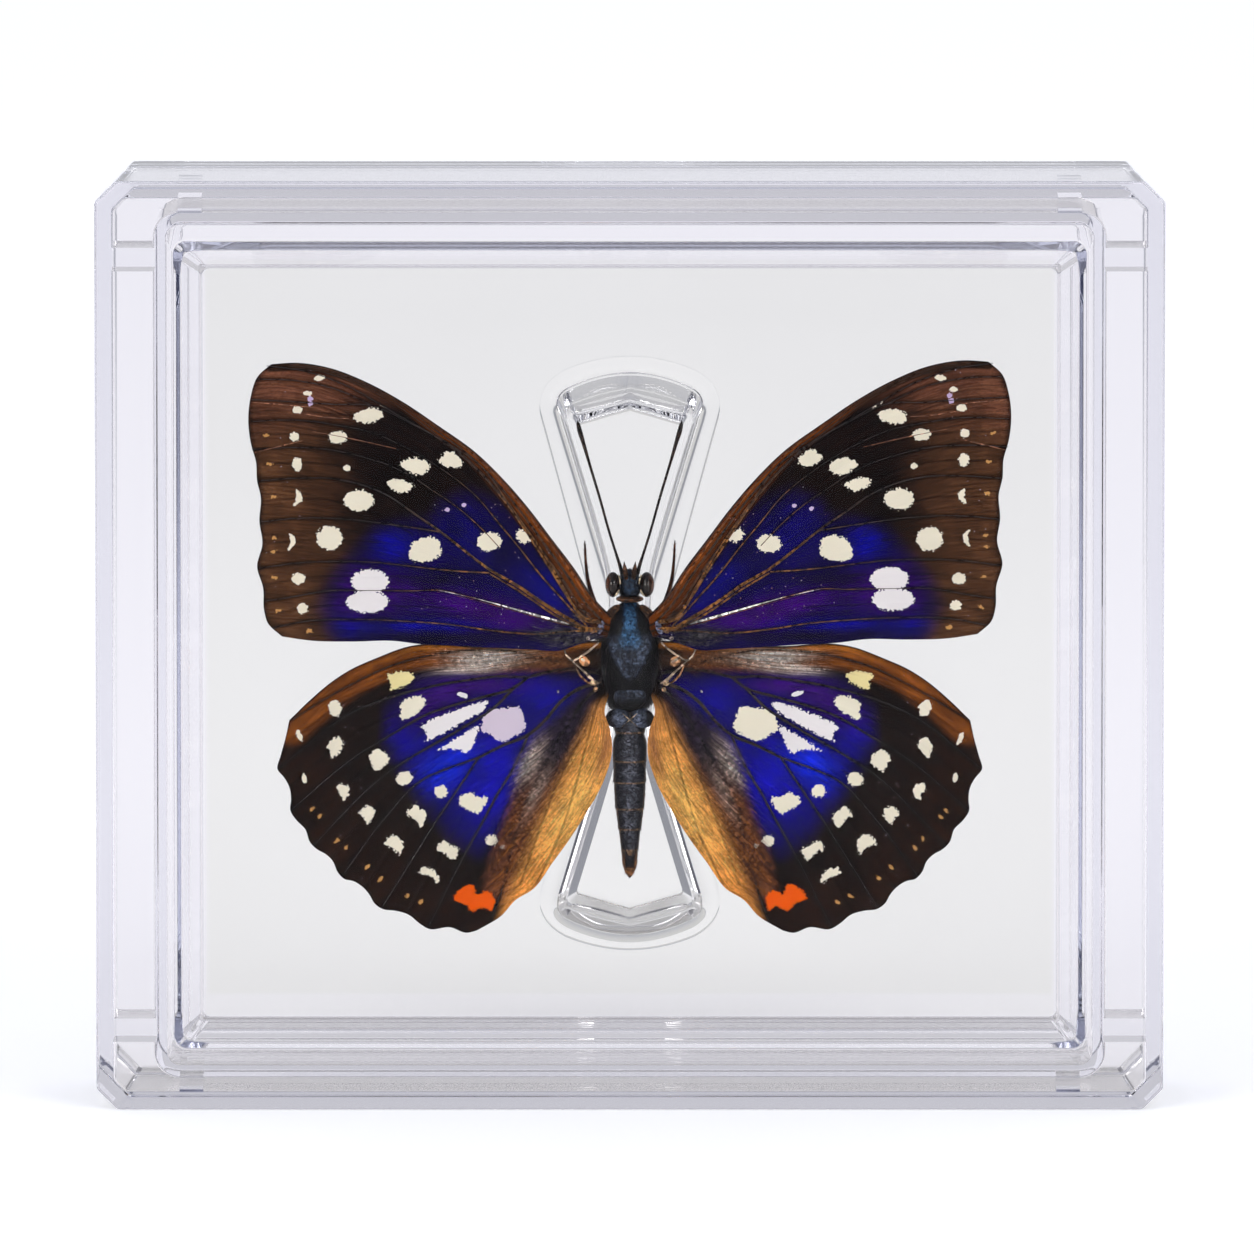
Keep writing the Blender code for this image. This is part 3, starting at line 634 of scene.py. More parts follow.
for side in (-1, 1):
    for place, half, lean, colour in (
        ((side * 3.72, -1.5, 60.1), (0.6, 0.65, 1.35), side * 0.4, FLAP_GREY),
        ((side * 2.45, -0.75, 61.5), (0.72, 0.9, 1.75), side * 0.68, COLLAR_BROWN),
    ):
        shells.append(closed_tube(ball(place, half, lean=lean)))
        colours.append(plain_tint(shells[-1], colour))
lobe = ball((0, -2.2, 51.25), (2.05, 0.85, 1.6), 30, 40)
top = soft_step(lobe[..., 2] / MM, 50.4, 52.4)
lobe_colours = tinted(THORAX_BLACK, (0.8 * top, SHIELD_GREY))
shells.append(closed_tube(lobe))
colours.append(ring_tints(lobe_colours))
thorax = make_object("thorax_barrel", joined(shells), thorax_skin, {"tint": np.concatenate(colours)})
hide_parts("thorax")
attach(thorax, "root")

out, down = grid_frame(barrel_grid)
shell, cells = hairs(barrel_grid, out, down, COAT_HAIRS, 0.6 * MM, 0.2, 0.16, 0.018 * MM)
coat = make_object("thorax_hair", shell, hair_finish, {"tint": hair_colours(thorax_colours[cells], 0.5)})
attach(coat, "root")
fringe_where = soft_step(across, 2.4, 3.6) * soft_step(z_mm, 49.5, 51.5)
shell, cells = hairs(barrel_grid, out, down, FRINGE_HAIRS, 1.9 * MM, 0.45, 0.25, 0.016 * MM, fringe_where)
fringe_tints = tinted(FRINGE_GREY, (soft_step(chance.random(FRINGE_HAIRS), 0.2, 0.9), FRINGE_BLACK))
fringe = make_object("thorax_fringe", shell, hair_finish, {"tint": hair_colours(fringe_tints, 0.5)})
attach(fringe, "root")

# The abdomen: a slim tube of overlapping rings behind the narrow waist, black with a lead-grey
# bloom down its back, thin tan lines where the rings end, and a brown tip.
ABDOMEN = [
    (49.5, 1.4, 1.4, 1.1), (49.1, 1.9, 1.8, 1.1), (48.5, 2.35, 2.2, 1.1), (47.3, 2.1, 2.1, 1.2),
    (46.3, 1.8, 1.9, 1.2),
    (45.3, 2.05, 2.0, 1.2), (42.7, 2.03, 2.0, 1.2), (40.0, 2.0, 2.0, 1.2), (36.7, 1.75, 1.8, 1.2),
    (34.0, 1.38, 1.5, 1.2), (31.7, 1.06, 1.2, 1.2), (29.2, 0.78, 0.9, 1.2), (28.4, 0.5, 0.55, 1.2),
    (28.0, 0.15, 0.2, 1.2),
]
RING_ENDS = (49.0, 46.4, 42.7, 40.0, 36.6, 34.0, 31.3, 29.0)
RING_STEP = 0.045
ABDOMEN_BLACK = (20, 18, 20)
BLOOM_GREY = (78, 80, 92)
LINE_TAN = (150, 110, 74)
TIP_BROWN = (150, 96, 56)
LOBE_GREY = (92, 100, 122)
RING_HAIRS = 3600

abdomen_grid = barrel(ABDOMEN, 200, 64)
x_mm, y_mm, z_mm = np.moveaxis(abdomen_grid / MM, -1, 0)
swell = np.zeros_like(z_mm)
line = np.zeros_like(z_mm)
for ring, end in enumerate(RING_ENDS):
    start = RING_ENDS[ring - 1] if ring else 49.6
    within = (z_mm <= start) & (z_mm > end)
    swell += np.where(within, RING_STEP * ((start - z_mm) / (start - end)) ** 2, 0)
    line += np.exp(-((z_mm - end - 0.08) / 0.09) ** 2)
abdomen_grid[..., 0] *= 1 + swell
abdomen_grid[..., 1] = 1.2 * MM + (abdomen_grid[..., 1] - 1.2 * MM) * (1 + swell)
ahead = soft_step(-y_mm, -1.0, 0.3)
half_width = np.abs(x_mm).max(axis=1, keepdims=True)
bloom = ahead * np.exp(-(x_mm / (0.12 + 0.46 * half_width)) ** 2) * soft_step(z_mm, 29.0, 33)
side_line = np.exp(-((np.abs(x_mm) / half_width - 0.97) / 0.07) ** 2)
tip = (1 - soft_step(z_mm, 28.2, 29.6)) + soft_step(z_mm, 31.6, 29.8) * soft_step(np.abs(x_mm), 0.45, 0.8)
pore = ahead * np.exp(-(((x_mm / 0.22) ** 2 + ((z_mm - 31.1) / 0.22) ** 2) - 1) ** 2)
abdomen_colours = tinted(
    ABDOMEN_BLACK, (0.75 * bloom, BLOOM_GREY), (0.6 * line, LINE_TAN),
    (0.25 * side_line, LINE_TAN), (0.85 * tip, TIP_BROWN), (0.8 * pore, LINE_TAN),
)
shells = [closed_tube(abdomen_grid)]
colours = [ring_tints(abdomen_colours)]
for side in (-1, 1):
    lobe = ball((side * 1.5, -0.55, 48.45), (1.65, 0.95, 1.25), 26, 34, side * -0.25)
    inward = soft_step(np.abs(lobe[..., 0] / MM - side * 1.2), 1.2, 0.2)
    lobe_colours = tinted(ABDOMEN_BLACK, (0.75 * inward, LOBE_GREY))
    shells.append(closed_tube(lobe))
    colours.append(ring_tints(lobe_colours))
abdomen_skin = body_finish("abdomen_scales", 0.45, 4600.0, 0.05 * MM, 0.14)
abdomen = make_object("abdomen_rings", joined(shells), abdomen_skin, {"tint": np.concatenate(colours)})
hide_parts("abdomen")
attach(abdomen, "root")
out, down = grid_frame(abdomen_grid)
shell, cells = hairs(abdomen_grid, out, down, RING_HAIRS, 0.5 * MM, 0.14, 0.1, 0.014 * MM)
coat = make_object("abdomen_hair", shell, hair_finish, {"tint": hair_colours(abdomen_colours[cells], 0.5)})
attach(coat, "root")

# The head: a small black ball with a tuft of dark hair, two large brown compound eyes set in
# pale rims, and two short scaly palps that point forward between the antennae.
HEAD_MIDDLE = (0.0, 0.2, 65.3)
HEAD_HALF = (1.5, 1.7, 1.85)
EYE_MIDDLE = (2.15, -0.1, 65.4)
EYE_HALF = (0.97, 1.25, 1.6)
HEAD_BLACK = (16, 15, 18)
HEAD_DUST = (50, 70, 96)
HEAD_COLLAR = (84, 56, 40)
PALP_BROWN = (72, 46, 31)
EYE_CREAM = (240, 216, 180)
TUFT_BLACK = (22, 21, 25)
TUFT_GREY = (84, 96, 116)
TUFT_HAIRS = 1500
PALP = [
    (0.45, -1.2, 66.3, 0.26), (0.56, -1.6, 67.1, 0.33), (0.64, -1.8, 67.7, 0.27), (0.69, -1.85, 68.2, 0.12),
    (0.71, -1.85, 68.55, 0.03),
]
EYE_MARKS = (
    [(1.46, -1.02, 66.75, 0.06), (1.27, -1.3, 66.2, 0.1), (1.2, -1.35, 65.6, 0.07)],
    [(1.36, -1.25, 64.85, 0.06), (1.58, -1.2, 64.4, 0.13), (1.86, -1.0, 64.05, 0.06)],
)
FACETS_PER_METRE = 9000.0

head_grid = ball(HEAD_MIDDLE, HEAD_HALF, 40, 48)
z_mm = head_grid[..., 2] / MM
x_mm = head_grid[..., 0] / MM
front_dust = np.exp(-(x_mm / 0.8) ** 2) * soft_step(z_mm, 63.9, 64.6)
head_colours = tinted(HEAD_BLACK, (0.7 * front_dust, HEAD_DUST))
shells = [closed_tube(head_grid)]
colours = [ring_tints(head_colours)]
collar_grid = ball((0, 0.2, 63.55), (1.75, 1.75, 0.5), 16, 40)
shells.append(closed_tube(collar_grid))
colours.append(plain_tint(shells[-1], HEAD_COLLAR))
head = make_object("head_ball", joined(shells), thorax_skin, {"tint": np.concatenate(colours)})
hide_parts("head")
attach(head, "root")

eye_finish = bpy.data.materials.new("compound_eye")
eye_finish.use_nodes = True
tree = eye_finish.node_tree
spot = add(tree, "ShaderNodeTexCoord").outputs["Object"]
facet = add(tree, "ShaderNodeTexVoronoi", {
    "Vector": spot, "Scale": FACETS_PER_METRE, "Randomness": 0.25,
}).outputs["Distance"]
cloud = add(tree, "ShaderNodeTexNoise", {"Vector": spot, "Scale": 900.0, "Detail": 2.0}).outputs["Fac"]
side_share = calc(tree, "ABSOLUTE", add(tree, "ShaderNodeSeparateXYZ", {0: spot}).outputs["X"])
outer = ramp(tree, side_share, 2.3 * MM, 2.95 * MM)
eye_colour = blend(tree, cloud, (*linear(18, 12, 11), 1), (*linear(46, 29, 23), 1))
eye_colour = blend(tree, outer, eye_colour, (*linear(96, 54, 34), 1))
shader = tree.nodes["Principled BSDF"]
tree.links.new(eye_colour, shader.inputs["Base Color"])
bump = add(tree, "ShaderNodeBump", {"Height": facet, "Distance": 0.02 * MM, "Strength": 0.5})
tree.links.new(bump.outputs[0], shader.inputs["Normal"])
shader.inputs["Roughness"].default_value = 0.13
shader.inputs["Specular IOR Level"].default_value = 0.4
eyes = make_object("compound_eyes", joined([
    closed_tube(ball((side * EYE_MIDDLE[0], *EYE_MIDDLE[1:]), EYE_HALF, 30, 36)) for side in (-1, 1)
]), eye_finish)
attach(eyes, "root")

out, down = grid_frame(head_grid)
shell, cells = hairs(head_grid, out, -down, TUFT_HAIRS, 0.5 * MM, 0.5, 0.3, 0.016 * MM)
tuft_colours = tinted(TUFT_BLACK, (soft_step(chance.random(TUFT_HAIRS), 0.8, 1.0), TUFT_GREY))
tuft = make_object("head_hair", shell, hair_finish, {"tint": hair_colours(tuft_colours, 0.4)})
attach(tuft, "root")


def swept(path, sides, steps, flat=1.0):
    """Rings round a smooth curve through (out, depth, height, radius), in mm, flattened in depth.

    Each ring is a circle across the curve, from its side direction to its direction in depth.
    """
    data = smooth_curve(path, np.linspace(0, 1, steps)) * MM
    points, radius = data[:, :3], np.abs(data[:, 3])[:, None, None]
    along = np.gradient(points, axis=0)
    sideways = np.cross(along, [0.0, 1.0, 0.0])
    sideways /= np.linalg.norm(sideways, axis=1, keepdims=True)
    over = np.cross(sideways, along)
    over /= np.linalg.norm(over, axis=1, keepdims=True)
    turn = np.linspace(0, 2 * pi, sides, endpoint=False)[None, :, None]
    return points[:, None] + radius * (
        np.cos(turn) * sideways[:, None] + flat * np.sin(turn) * over[:, None]
    )


def sided(path, side):
    """Path of the left or right one of a pair: distances out from the middle change sign."""
    return [(side * point[0], *point[1:]) for point in path]


for side, word in ((-1, "left"), (1, "right")):
    shell = closed_tube(swept(sided(PALP, side), 14, 24))
    palp = make_object("palp_scaly_" + word, shell, thorax_skin, {"tint": plain_tint(shell, PALP_BROWN)})
    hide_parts("palp_" + word)
    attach(palp, "root")

joint_finish = body_finish("joint_plates", 0.25, 2600.0, 0.03 * MM, 0.6)
shells, colours = [], []
for side in (-1, 1):
    for mark in EYE_MARKS:
        shells.append(closed_tube(swept(sided(mark, side), 10, 24)))
        colours.append(plain_tint(shells[-1], EYE_CREAM))
marks = make_object("eye_marks", joined(shells), joint_finish, {"tint": np.concatenate(colours)})
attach(marks, "root")

# The wing joints: small glossy tan and silvery plates and struts of bare chitin between the thorax
# and the roots of the wings, grown on the body, with pale threads crossing behind the thorax.
JOINT_STRUTS = (
    (
        (206, 180, 156),
        [
            (8.4, -1.5, 57.5, 0.08), (7.9, -1.6, 56.4, 0.13), (7.3, -1.62, 55.9, 0.15),
            (6.2, -1.65, 56.4, 0.12), (5.2, -1.7, 57.1, 0.14), (3.9, -1.5, 58.2, 0.1),
        ],
    ),
    (
        (190, 164, 142),
        [
            (7.3, -1.5, 55.9, 0.14), (6.6, -1.6, 55.2, 0.11), (5.8, -1.62, 54.5, 0.15),
            (4.7, -1.6, 53.4, 0.18), (3.9, -1.4, 52.9, 0.1),
        ],
    ),
    (
        (120, 78, 48),
        [
            (6.9, -1.5, 55.3, 0.08), (6.3, -1.55, 54.0, 0.12), (5.5, -1.55, 53.2, 0.14),
            (4.2, -1.5, 52.7, 0.1),
        ],
    ),
)
JOINT_PLATES = (
    ((198, 136, 88), (5.75, -1.45, 55.75), (0.75, 0.3, 0.6), 0.7),
    ((236, 214, 190), (5.9, -1.62, 55.95), (0.3, 0.2, 0.22), 0.6),
    ((168, 152, 146), (5.3, -1.95, 58.75), (0.3, 0.25, 0.28), 0.0),
    ((226, 190, 150), (4.62, -1.6, 53.0), (0.4, 0.35, 0.36), 0.3),
    ((206, 160, 116), (4.35, -1.6, 52.2), (0.3, 0.28, 0.32), 0.0),
    ((240, 232, 226), (9.1, -1.5, 51.9), (0.13, 0.12, 0.16), 0.3),
    ((150, 110, 80), (4.6, -1.8, 59.6), (0.45, 0.3, 0.22), -0.6),
)
THREAD_TAN = (160, 134, 104)
CROSS_THREADS = (
    [(-0.95, -1.45, 49.1, 0.03), (0.0, -1.6, 48.3, 0.045), (0.95, -1.35, 47.4, 0.03)],
    [(0.95, -1.45, 49.1, 0.03), (0.0, -1.6, 48.3, 0.045), (-0.95, -1.35, 47.4, 0.03)],
)
shells, colours = [], []
for side in (-1, 1):
    for tone, path in JOINT_STRUTS:
        shells.append(closed_tube(swept(sided(path, side), 12, 40)))
        colours.append(plain_tint(shells[-1], tone))
    for tone, middle, half, lean in JOINT_PLATES:
        shells.append(closed_tube(ball((side * middle[0], *middle[1:]), half, 14, 20, side * lean)))
        colours.append(plain_tint(shells[-1], tone))
for path in CROSS_THREADS:
    shells.append(closed_tube(swept(path, 8, 24)))
    colours.append(plain_tint(shells[-1], THREAD_TAN))
joints = make_object("wing_joints", joined(shells), joint_finish, {"tint": np.concatenate(colours)})
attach(joints, "root")

# The antennae: thin stiff black threads of many short joints, each ending in a slim brown club.
ANTENNA = [
    (1.0, -0.9, 66.9, 0.26), (1.15, -1.3, 67.6, 0.24), (1.7, -1.42, 69.4, 0.17), (2.4, -1.5, 71.6, 0.165),
    (4.0, -1.6, 77.3, 0.165), (5.2, -1.6, 81.3, 0.18), (5.9, -1.5, 83.7, 0.25), (6.4, -1.5, 85.4, 0.29),
    (6.55, -1.5, 86.1, 0.2), (6.6, -1.5, 86.4, 0.05),
]
ANTENNA_JOINTS = 52


def horn_finish(name, dark, light, gloss):
    """Shiny dark chitin, mottled along its length, with fine pores."""
    finish = bpy.data.materials.new(name)
    finish.use_nodes = True
    tree = finish.node_tree
    spot = add(tree, "ShaderNodeTexCoord").outputs["Object"]
    mottle = add(tree, "ShaderNodeTexNoise", {"Vector": spot, "Scale": 1400.0, "Detail": 4.0}).outputs["Fac"]
    colour = blend(tree, ramp(tree, mottle, 0.35, 0.75), (*linear(*dark), 1), (*linear(*light), 1))
    shader = tree.nodes["Principled BSDF"]
    tree.links.new(colour, shader.inputs["Base Color"])
    tree.links.new(ramp(tree, mottle, 0.3, 0.7, gloss, gloss + 0.2), shader.inputs["Roughness"])
    bump = add(tree, "ShaderNodeBump", {"Height": mottle, "Distance": 0.015 * MM, "Strength": 0.7})
    tree.links.new(bump.outputs[0], shader.inputs["Normal"])
    shader.inputs["Specular IOR Level"].default_value = 0.2
    return finish


antenna_finish = horn_finish("antenna_chitin", (16, 13, 14), (58, 38, 28), 0.32)
for side, word in ((-1, "left"), (1, "right")):
    steps = 4 * ANTENNA_JOINTS
    grid = swept(sided(ANTENNA, side), 14, steps)
    waist = 1 - 0.09 * np.cos(2 * pi * np.arange(steps) / 4)[:, None, None]
    middle = grid.mean(axis=1, keepdims=True)
    shell = closed_tube(middle + (grid - middle) * waist)
    antenna = make_object("antenna_thread_" + word, shell, antenna_finish)
    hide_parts("antenna_" + word)
    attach(antenna, "root")

# The legs: thin jointed shanks folded behind the wings; the tips of the middle pair show beside
# the neck, and the hind pair lies along the abdomen behind the wings.
MID_LEG = [
    (3.4, 4.0, 60.6, 0.26), (4.4, 3.6, 62.6, 0.3), (5.3, 3.0, 65.6, 0.24),
    (5.6, 2.4, 68.2, 0.17), (5.7, 2.0, 70.4, 0.09), (5.72, 1.9, 70.8, 0.03),
]
HIND_LEG = [
    (4.0, 4.1, 54.0, 0.28), (4.8, 3.9, 50.6, 0.3), (4.6, 3.7, 46.6, 0.22),
    (4.3, 3.6, 42.4, 0.16), (4.9, 3.5, 39.4, 0.1), (4.95, 3.5, 39.0, 0.03),
]
leg_finish = horn_finish("leg_chitin", (52, 28, 17), (112, 66, 38), 0.4)
for side, word in ((-1, "left"), (1, "right")):
    for kind, path in (("mid", MID_LEG), ("hind", HIND_LEG)):
        leg_grid = swept(sided(path, side), 12, 60)
        out, down = grid_frame(leg_grid)
        spines = hairs(leg_grid, out, down, 120, 0.35 * MM, 0.8, 0.15, 0.016 * MM)[0]
        shell = joined([closed_tube(leg_grid), spines])
        leg = make_object("leg_shank_" + kind + "_" + word, shell, leg_finish)
        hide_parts("leg_" + kind + "_" + word)
        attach(leg, "root")

# The wings: thin stiff membranes held by a fan of veins and covered with rows of dusty scales.
# The forewings lie over the hindwings; both are worked out here in one way, as a sheet between
# their front edge, outer margin and inner edge, with the veins as ridges on it.
WING_THICK = 0.12
GRID_ROWS = 214
GRID_COLUMNS = 214
HALF_SPAN = 48.0
WING_ROOT = np.array([4.0, 57.0])
FLOW_WIDE = 35.0
FLOW_LONG = 45.0
FORE = {
    "depth": (-1.9, 0.9),
    "costa": [
        (2.4, 61.6), (4.4, 63.7), (7.0, 67.6), (9.8, 71.3), (12.9, 75.4), (16.1, 79.1), (19.6, 82.5),
        (24.2, 85.8), (28.8, 88.9), (33.2, 91.3), (37.8, 93.1), (42.3, 93.8), (45.4, 93.6),
    ],
    "margin": [
        (45.4, 93.6), (47.2, 92.0), (48.1, 89.4), (48.4, 86.8), (48.1, 83.6), (47.4, 81.0),
        (47.3, 78.8), (46.8, 76.6), (47.0, 73.6), (46.6, 70.8), (47.3, 67.8), (46.5, 65.0),
        (46.4, 62.3), (45.9, 60.6), (44.1, 58.9),
    ],
    "inner": [
        (2.6, 59.0), (4.6, 58.6), (6.4, 58.0), (8.4, 57.3), (12.9, 57.35), (21.9, 57.8), (26.5, 58.0),
        (30.0, 58.4), (35.1, 58.3), (40.4, 58.4), (44.1, 58.9),
    ],
    "veins": [
        [
            (3.6, 60.9), (5.4, 61.2), (8.4, 65.2), (10.2, 68.4), (13.2, 72.9), (15.8, 76.6), (18.75, 80.6),
            (24.1, 84.2), (30.1, 87.6), (35.6, 90.8), (42.0, 92.9), (46.0, 93.4),
        ],
        [
            (3.6, 60.7), (5.6, 61.0), (7.6, 63.6), (9.6, 66.8), (12.4, 71.2), (15.4, 75.6), (18.75, 79.6),
            (22.95, 83.3), (28.7, 86.6), (32.7, 88.4), (37.0, 88.5), (42.0, 88.8), (48.0, 89.1),
        ],
        [
            (5.4, 60.3), (6.6, 61.55), (8.5, 63.7), (10.3, 65.65), (12.4, 68.2), (14.15, 70.5),
            (16.5, 73.3), (19.2, 76.6), (22.95, 79.7), (25.3, 81.3), (28.9, 83.3), (32.5, 84.9),
            (37.2, 85.9), (42.0, 86.5), (48.0, 86.3),
        ],
        [
            (16.6, 70.4), (18.75, 72.7), (21.8, 75.4), (25.3, 77.8), (27.7, 79.4), (30.1, 80.6),
            (33.7, 81.8), (38.4, 82.8), (43.2, 83.0), (48.0, 82.7),
        ],
        [
            (3.6, 60.0), (5.3, 59.9), (6.6, 60.6), (8.9, 61.9), (11.4, 63.5), (14.3, 65.5), (17.6, 67.4),
            (20.55, 69.6), (24.2, 72.5), (27.7, 74.9), (30.1, 76.6), (33.7, 78.2), (37.2, 79.0),
            (42.0, 79.1), (47.3, 78.7),
        ],
        [(24.1, 72.3), (25.3, 72.5), (30.1, 73.2), (36.0, 73.9), (42.0, 74.0), (46.9, 73.5)],
        [
            (17.8, 67.1), (21.1, 67.25), (25.0, 67.6), (28.9, 68.05), (32.5, 68.4), (37.2, 68.5),
            (42.0, 68.3), (47.1, 67.6),
        ],
        [
            (6.4, 60.25), (9.5, 61.05), (14.0, 62.3), (20.5, 64.05), (24.4, 64.9), (26.5, 64.8),
            (32.5, 64.8), (38.7, 64.7), (42.0, 64.1), (46.3, 63.4),
        ],
        [
            (3.6, 59.6), (6.6, 59.7), (12.2, 59.3), (17.25, 59.7), (22.95, 60.5), (27.7, 60.85),
            (34.9, 61.1), (40.8, 60.9), (45.3, 60.0),
        ],
        [(32.7, 88.4), (36.8, 90.3), (42.0, 91.5), (47.2, 91.7)],
        [(5.6, 59.6), (9.0, 61.4), (14.4, 65.0), (17.7, 66.95)],
    ],
    "creases": [],
}
HIND = {
    "depth": (-1.0, 1.0),
    "costa": [
        (2.6, 58.2), (4.9, 58.3), (8.0, 58.0), (12.0, 57.8), (19.6, 57.6), (26.0, 57.9), (27.9, 57.6),
        (32.3, 56.0),
        (35.2, 54.7), (38.1, 52.8), (40.3, 50.9), (43.2, 48.1),
    ],
    "margin": [
        (43.2, 48.1), (43.7, 45.8), (44.3, 43.6), (44.7, 41.8), (43.9, 40.8), (43.2, 39.5),
        (43.0, 38.0), (43.1, 36.6), (42.3, 35.3), (41.2, 34.2), (40.6, 32.5), (39.7, 31.6),
        (38.6, 31.0), (37.7, 30.1), (37.1, 28.7), (36.2, 27.8), (35.2, 27.6), (33.9, 26.8),
        (33.1, 25.9), (32.4, 24.7), (31.4, 24.0), (29.8, 23.8), (28.1, 23.3), (26.6, 22.1),
        (25.6, 21.5), (22.8, 21.7), (20.7, 21.0), (19.4, 21.3),
    ],
    "inner": [
        (2.6, 51.6), (3.2, 49.3), (2.5, 47.0), (2.25, 44.4), (3.3, 40.5), (5.55, 36.3),
        (7.5, 33.2), (9.8, 30.0), (12.3, 26.6), (14.5, 25.2), (16.3, 23.2), (19.4, 21.3),
    ],
    "veins": [
        [(9.0, 55.6), (15.0, 57.0), (22.6, 56.9), (30.8, 54.9), (36.6, 52.0), (43.0, 48.1)],
        [
            (4.0, 54.2), (7.8, 54.7), (10.2, 54.4), (12.9, 53.7), (16.0, 53.8), (20.7, 53.3), (26.4, 52.2),
            (29.4, 51.4), (35.2, 49.1), (44.5, 42.0),
        ],
        [
            (12.9, 53.7), (14.7, 52.3), (18.0, 51.3), (22.3, 50.1), (26.4, 48.6), (30.1, 46.4),
            (35.2, 43.2), (43.0, 36.6),
        ],
        [(14.7, 52.3), (17.3, 49.7), (20.7, 47.5), (26.4, 44.2), (30.8, 41.4), (36.9, 35.6), (40.2, 32.0)],
        [(19.2, 43.4), (22.3, 42.3), (26.4, 40.5), (31.1, 35.6), (36.6, 28.1)],
        [
            (3.6, 53.2), (4.5, 52.9), (7.0, 51.9), (8.9, 50.4), (10.8, 48.1), (12.9, 46.3), (16.0, 45.0),
            (19.2, 43.4),
        ],
        [(19.2, 43.4), (21.0, 40.6), (23.1, 37.5), (24.7, 35.1), (26.0, 33.0), (31.4, 24.3)],
        [(12.9, 46.3), (13.9, 43.9), (15.2, 41.3), (16.8, 38.7), (18.6, 35.3), (19.9, 33.0), (25.6, 21.7)],
        [
            (3.8, 52.4), (5.0, 51.5), (8.1, 47.3), (10.8, 42.6), (12.9, 38.2), (14.6, 33.0), (16.2, 26.6),
            (17.7, 22.3),
        ],
    ],
    "creases": [
        [(3.4, 51.6), (3.8, 50.9), (5.3, 45.8), (7.0, 39.4), (8.6, 34.3), (11.8, 27.3)],
        [(5.6, 46.9), (8.8, 41.0), (11.3, 34.6), (13.9, 27.2)],
    ],
}


def wing_sheet(wing):
    """Sheet between four edges, in (out, height): two ruled sheets between opposite edges added up, less
    the plain sheet between the four corners. Rows run outwards, columns from front to inner edge."""
    rows = np.linspace(0, 1, GRID_ROWS)
    columns = np.linspace(0, 1, GRID_COLUMNS)
    lead = smooth_curve(wing["costa"], rows)[:, None]
    trail = smooth_curve(wing["inner"], rows)[:, None]
    outer = smooth_curve(wing["margin"], columns)[None]
    root = (lead[0] + (trail[0] - lead[0]) * columns[:, None])[None]
    r = rows[:, None, None]
    c = columns[None, :, None]
    corners = (1 - r) * ((1 - c) * lead[0] + c * trail[0]) + r * ((1 - c) * lead[-1] + c * trail[-1])
    return (1 - c) * lead + c * trail + (1 - r) * root + r * outer - corners


def line_distance(place, lines):
    """Least distance from points to a set of smooth lines, in mm."""
    best = np.full(len(place), 99.0)
    for line in lines:
        knots = smooth_curve(line, np.linspace(0, 1, 3 * len(line)))
        first, edge = knots[:-1], np.diff(knots, axis=0)
        rel = place[:, None] - first
        share = np.clip((rel * edge).sum(-1) / (edge ** 2).sum(-1), 0, 1)
        best = np.minimum(best, np.linalg.norm(rel - share[..., None] * edge, axis=-1).min(axis=1))
    return best


def inside_distance(place, outline):
    """Signed distance from points to a closed outline, in mm, positive inside it."""
    first = np.array(outline)
    edge = np.roll(first, -1, axis=0) - first
    rel = place[:, None] - first
    share = np.clip((rel * edge).sum(-1) / (edge ** 2).sum(-1), 0, 1)
    gap = np.linalg.norm(rel - share[..., None] * edge, axis=-1).min(axis=1)
    last = first + edge
    spans = (first[:, 1] > place[:, None, 1]) != (last[:, 1] > place[:, None, 1])
    rise = np.where(np.abs(edge[:, 1]) < 1e-9, 1e-9, edge[:, 1])
    left_of = place[:, None, 0] < first[:, 0] + rel[..., 1] * edge[:, 0] / rise
    return np.where((spans & left_of).sum(axis=1) % 2 == 1, gap, -gap)


def zone(place, outline, soft):
    """Share from 0 to 1 of a field with a soft edge."""
    return soft_step(inside_distance(place, outline), -soft, soft)


def patch(place, middle, half, lean=0.0):
    """Share of a soft oval: 1 in its middle, fading as a bell curve."""
    offset = place - np.array(middle)
    turned = offset @ np.array([[cos(lean), -sin(lean)], [sin(lean), cos(lean)]])
    return np.exp(-((turned / np.array(half)) ** 2).sum(axis=1))


def oval(out, height, half_long, half_short, lean_degrees):
    """Outline of an oval spot, as 18 points round it."""
    turn = np.linspace(0, 2 * pi, 18, endpoint=False)
    lean = radians(lean_degrees)
    along, across = half_long * np.cos(turn), half_short * np.sin(turn)
    sideways = out + along * cos(lean) - across * sin(lean)
    return np.stack([sideways, height + along * sin(lean) + across * cos(lean)], axis=1)


def rounded(outline):
    """Outline with each corner cut off at a quarter of its two sides."""
    points = np.array(outline, dtype=float)
    after = np.roll(points, -1, axis=0)
    return np.stack([0.75 * points + 0.25 * after, 0.25 * points + 0.75 * after], axis=1).reshape(-1, 2)


def spot_fields(place, spots, wander):
    """Signed distance into the nearest spot, measured in its own raggedness, and its colour."""
    depth = np.full(len(place), -20.0)
    colour = np.ones((len(place), 4))
    for tone, outline in spots:
        outline = np.array(outline) + wander * chance.normal(size=2)
        size = min(np.ptp(outline, axis=0))
        ragged = 0.16 if tone == TAN else np.clip(0.13 * size, 0.07, 0.25)
        near = ((place > outline.min(axis=0) - 2) & (place < outline.max(axis=0) + 2)).all(axis=1)
        value = inside_distance(place[near], outline) / ragged
        better = value > depth[near]
        chosen = np.flatnonzero(near)[better]
        depth[chosen] = value[better]
        colour[chosen, :3] = linear(*tone)
    return depth, colour


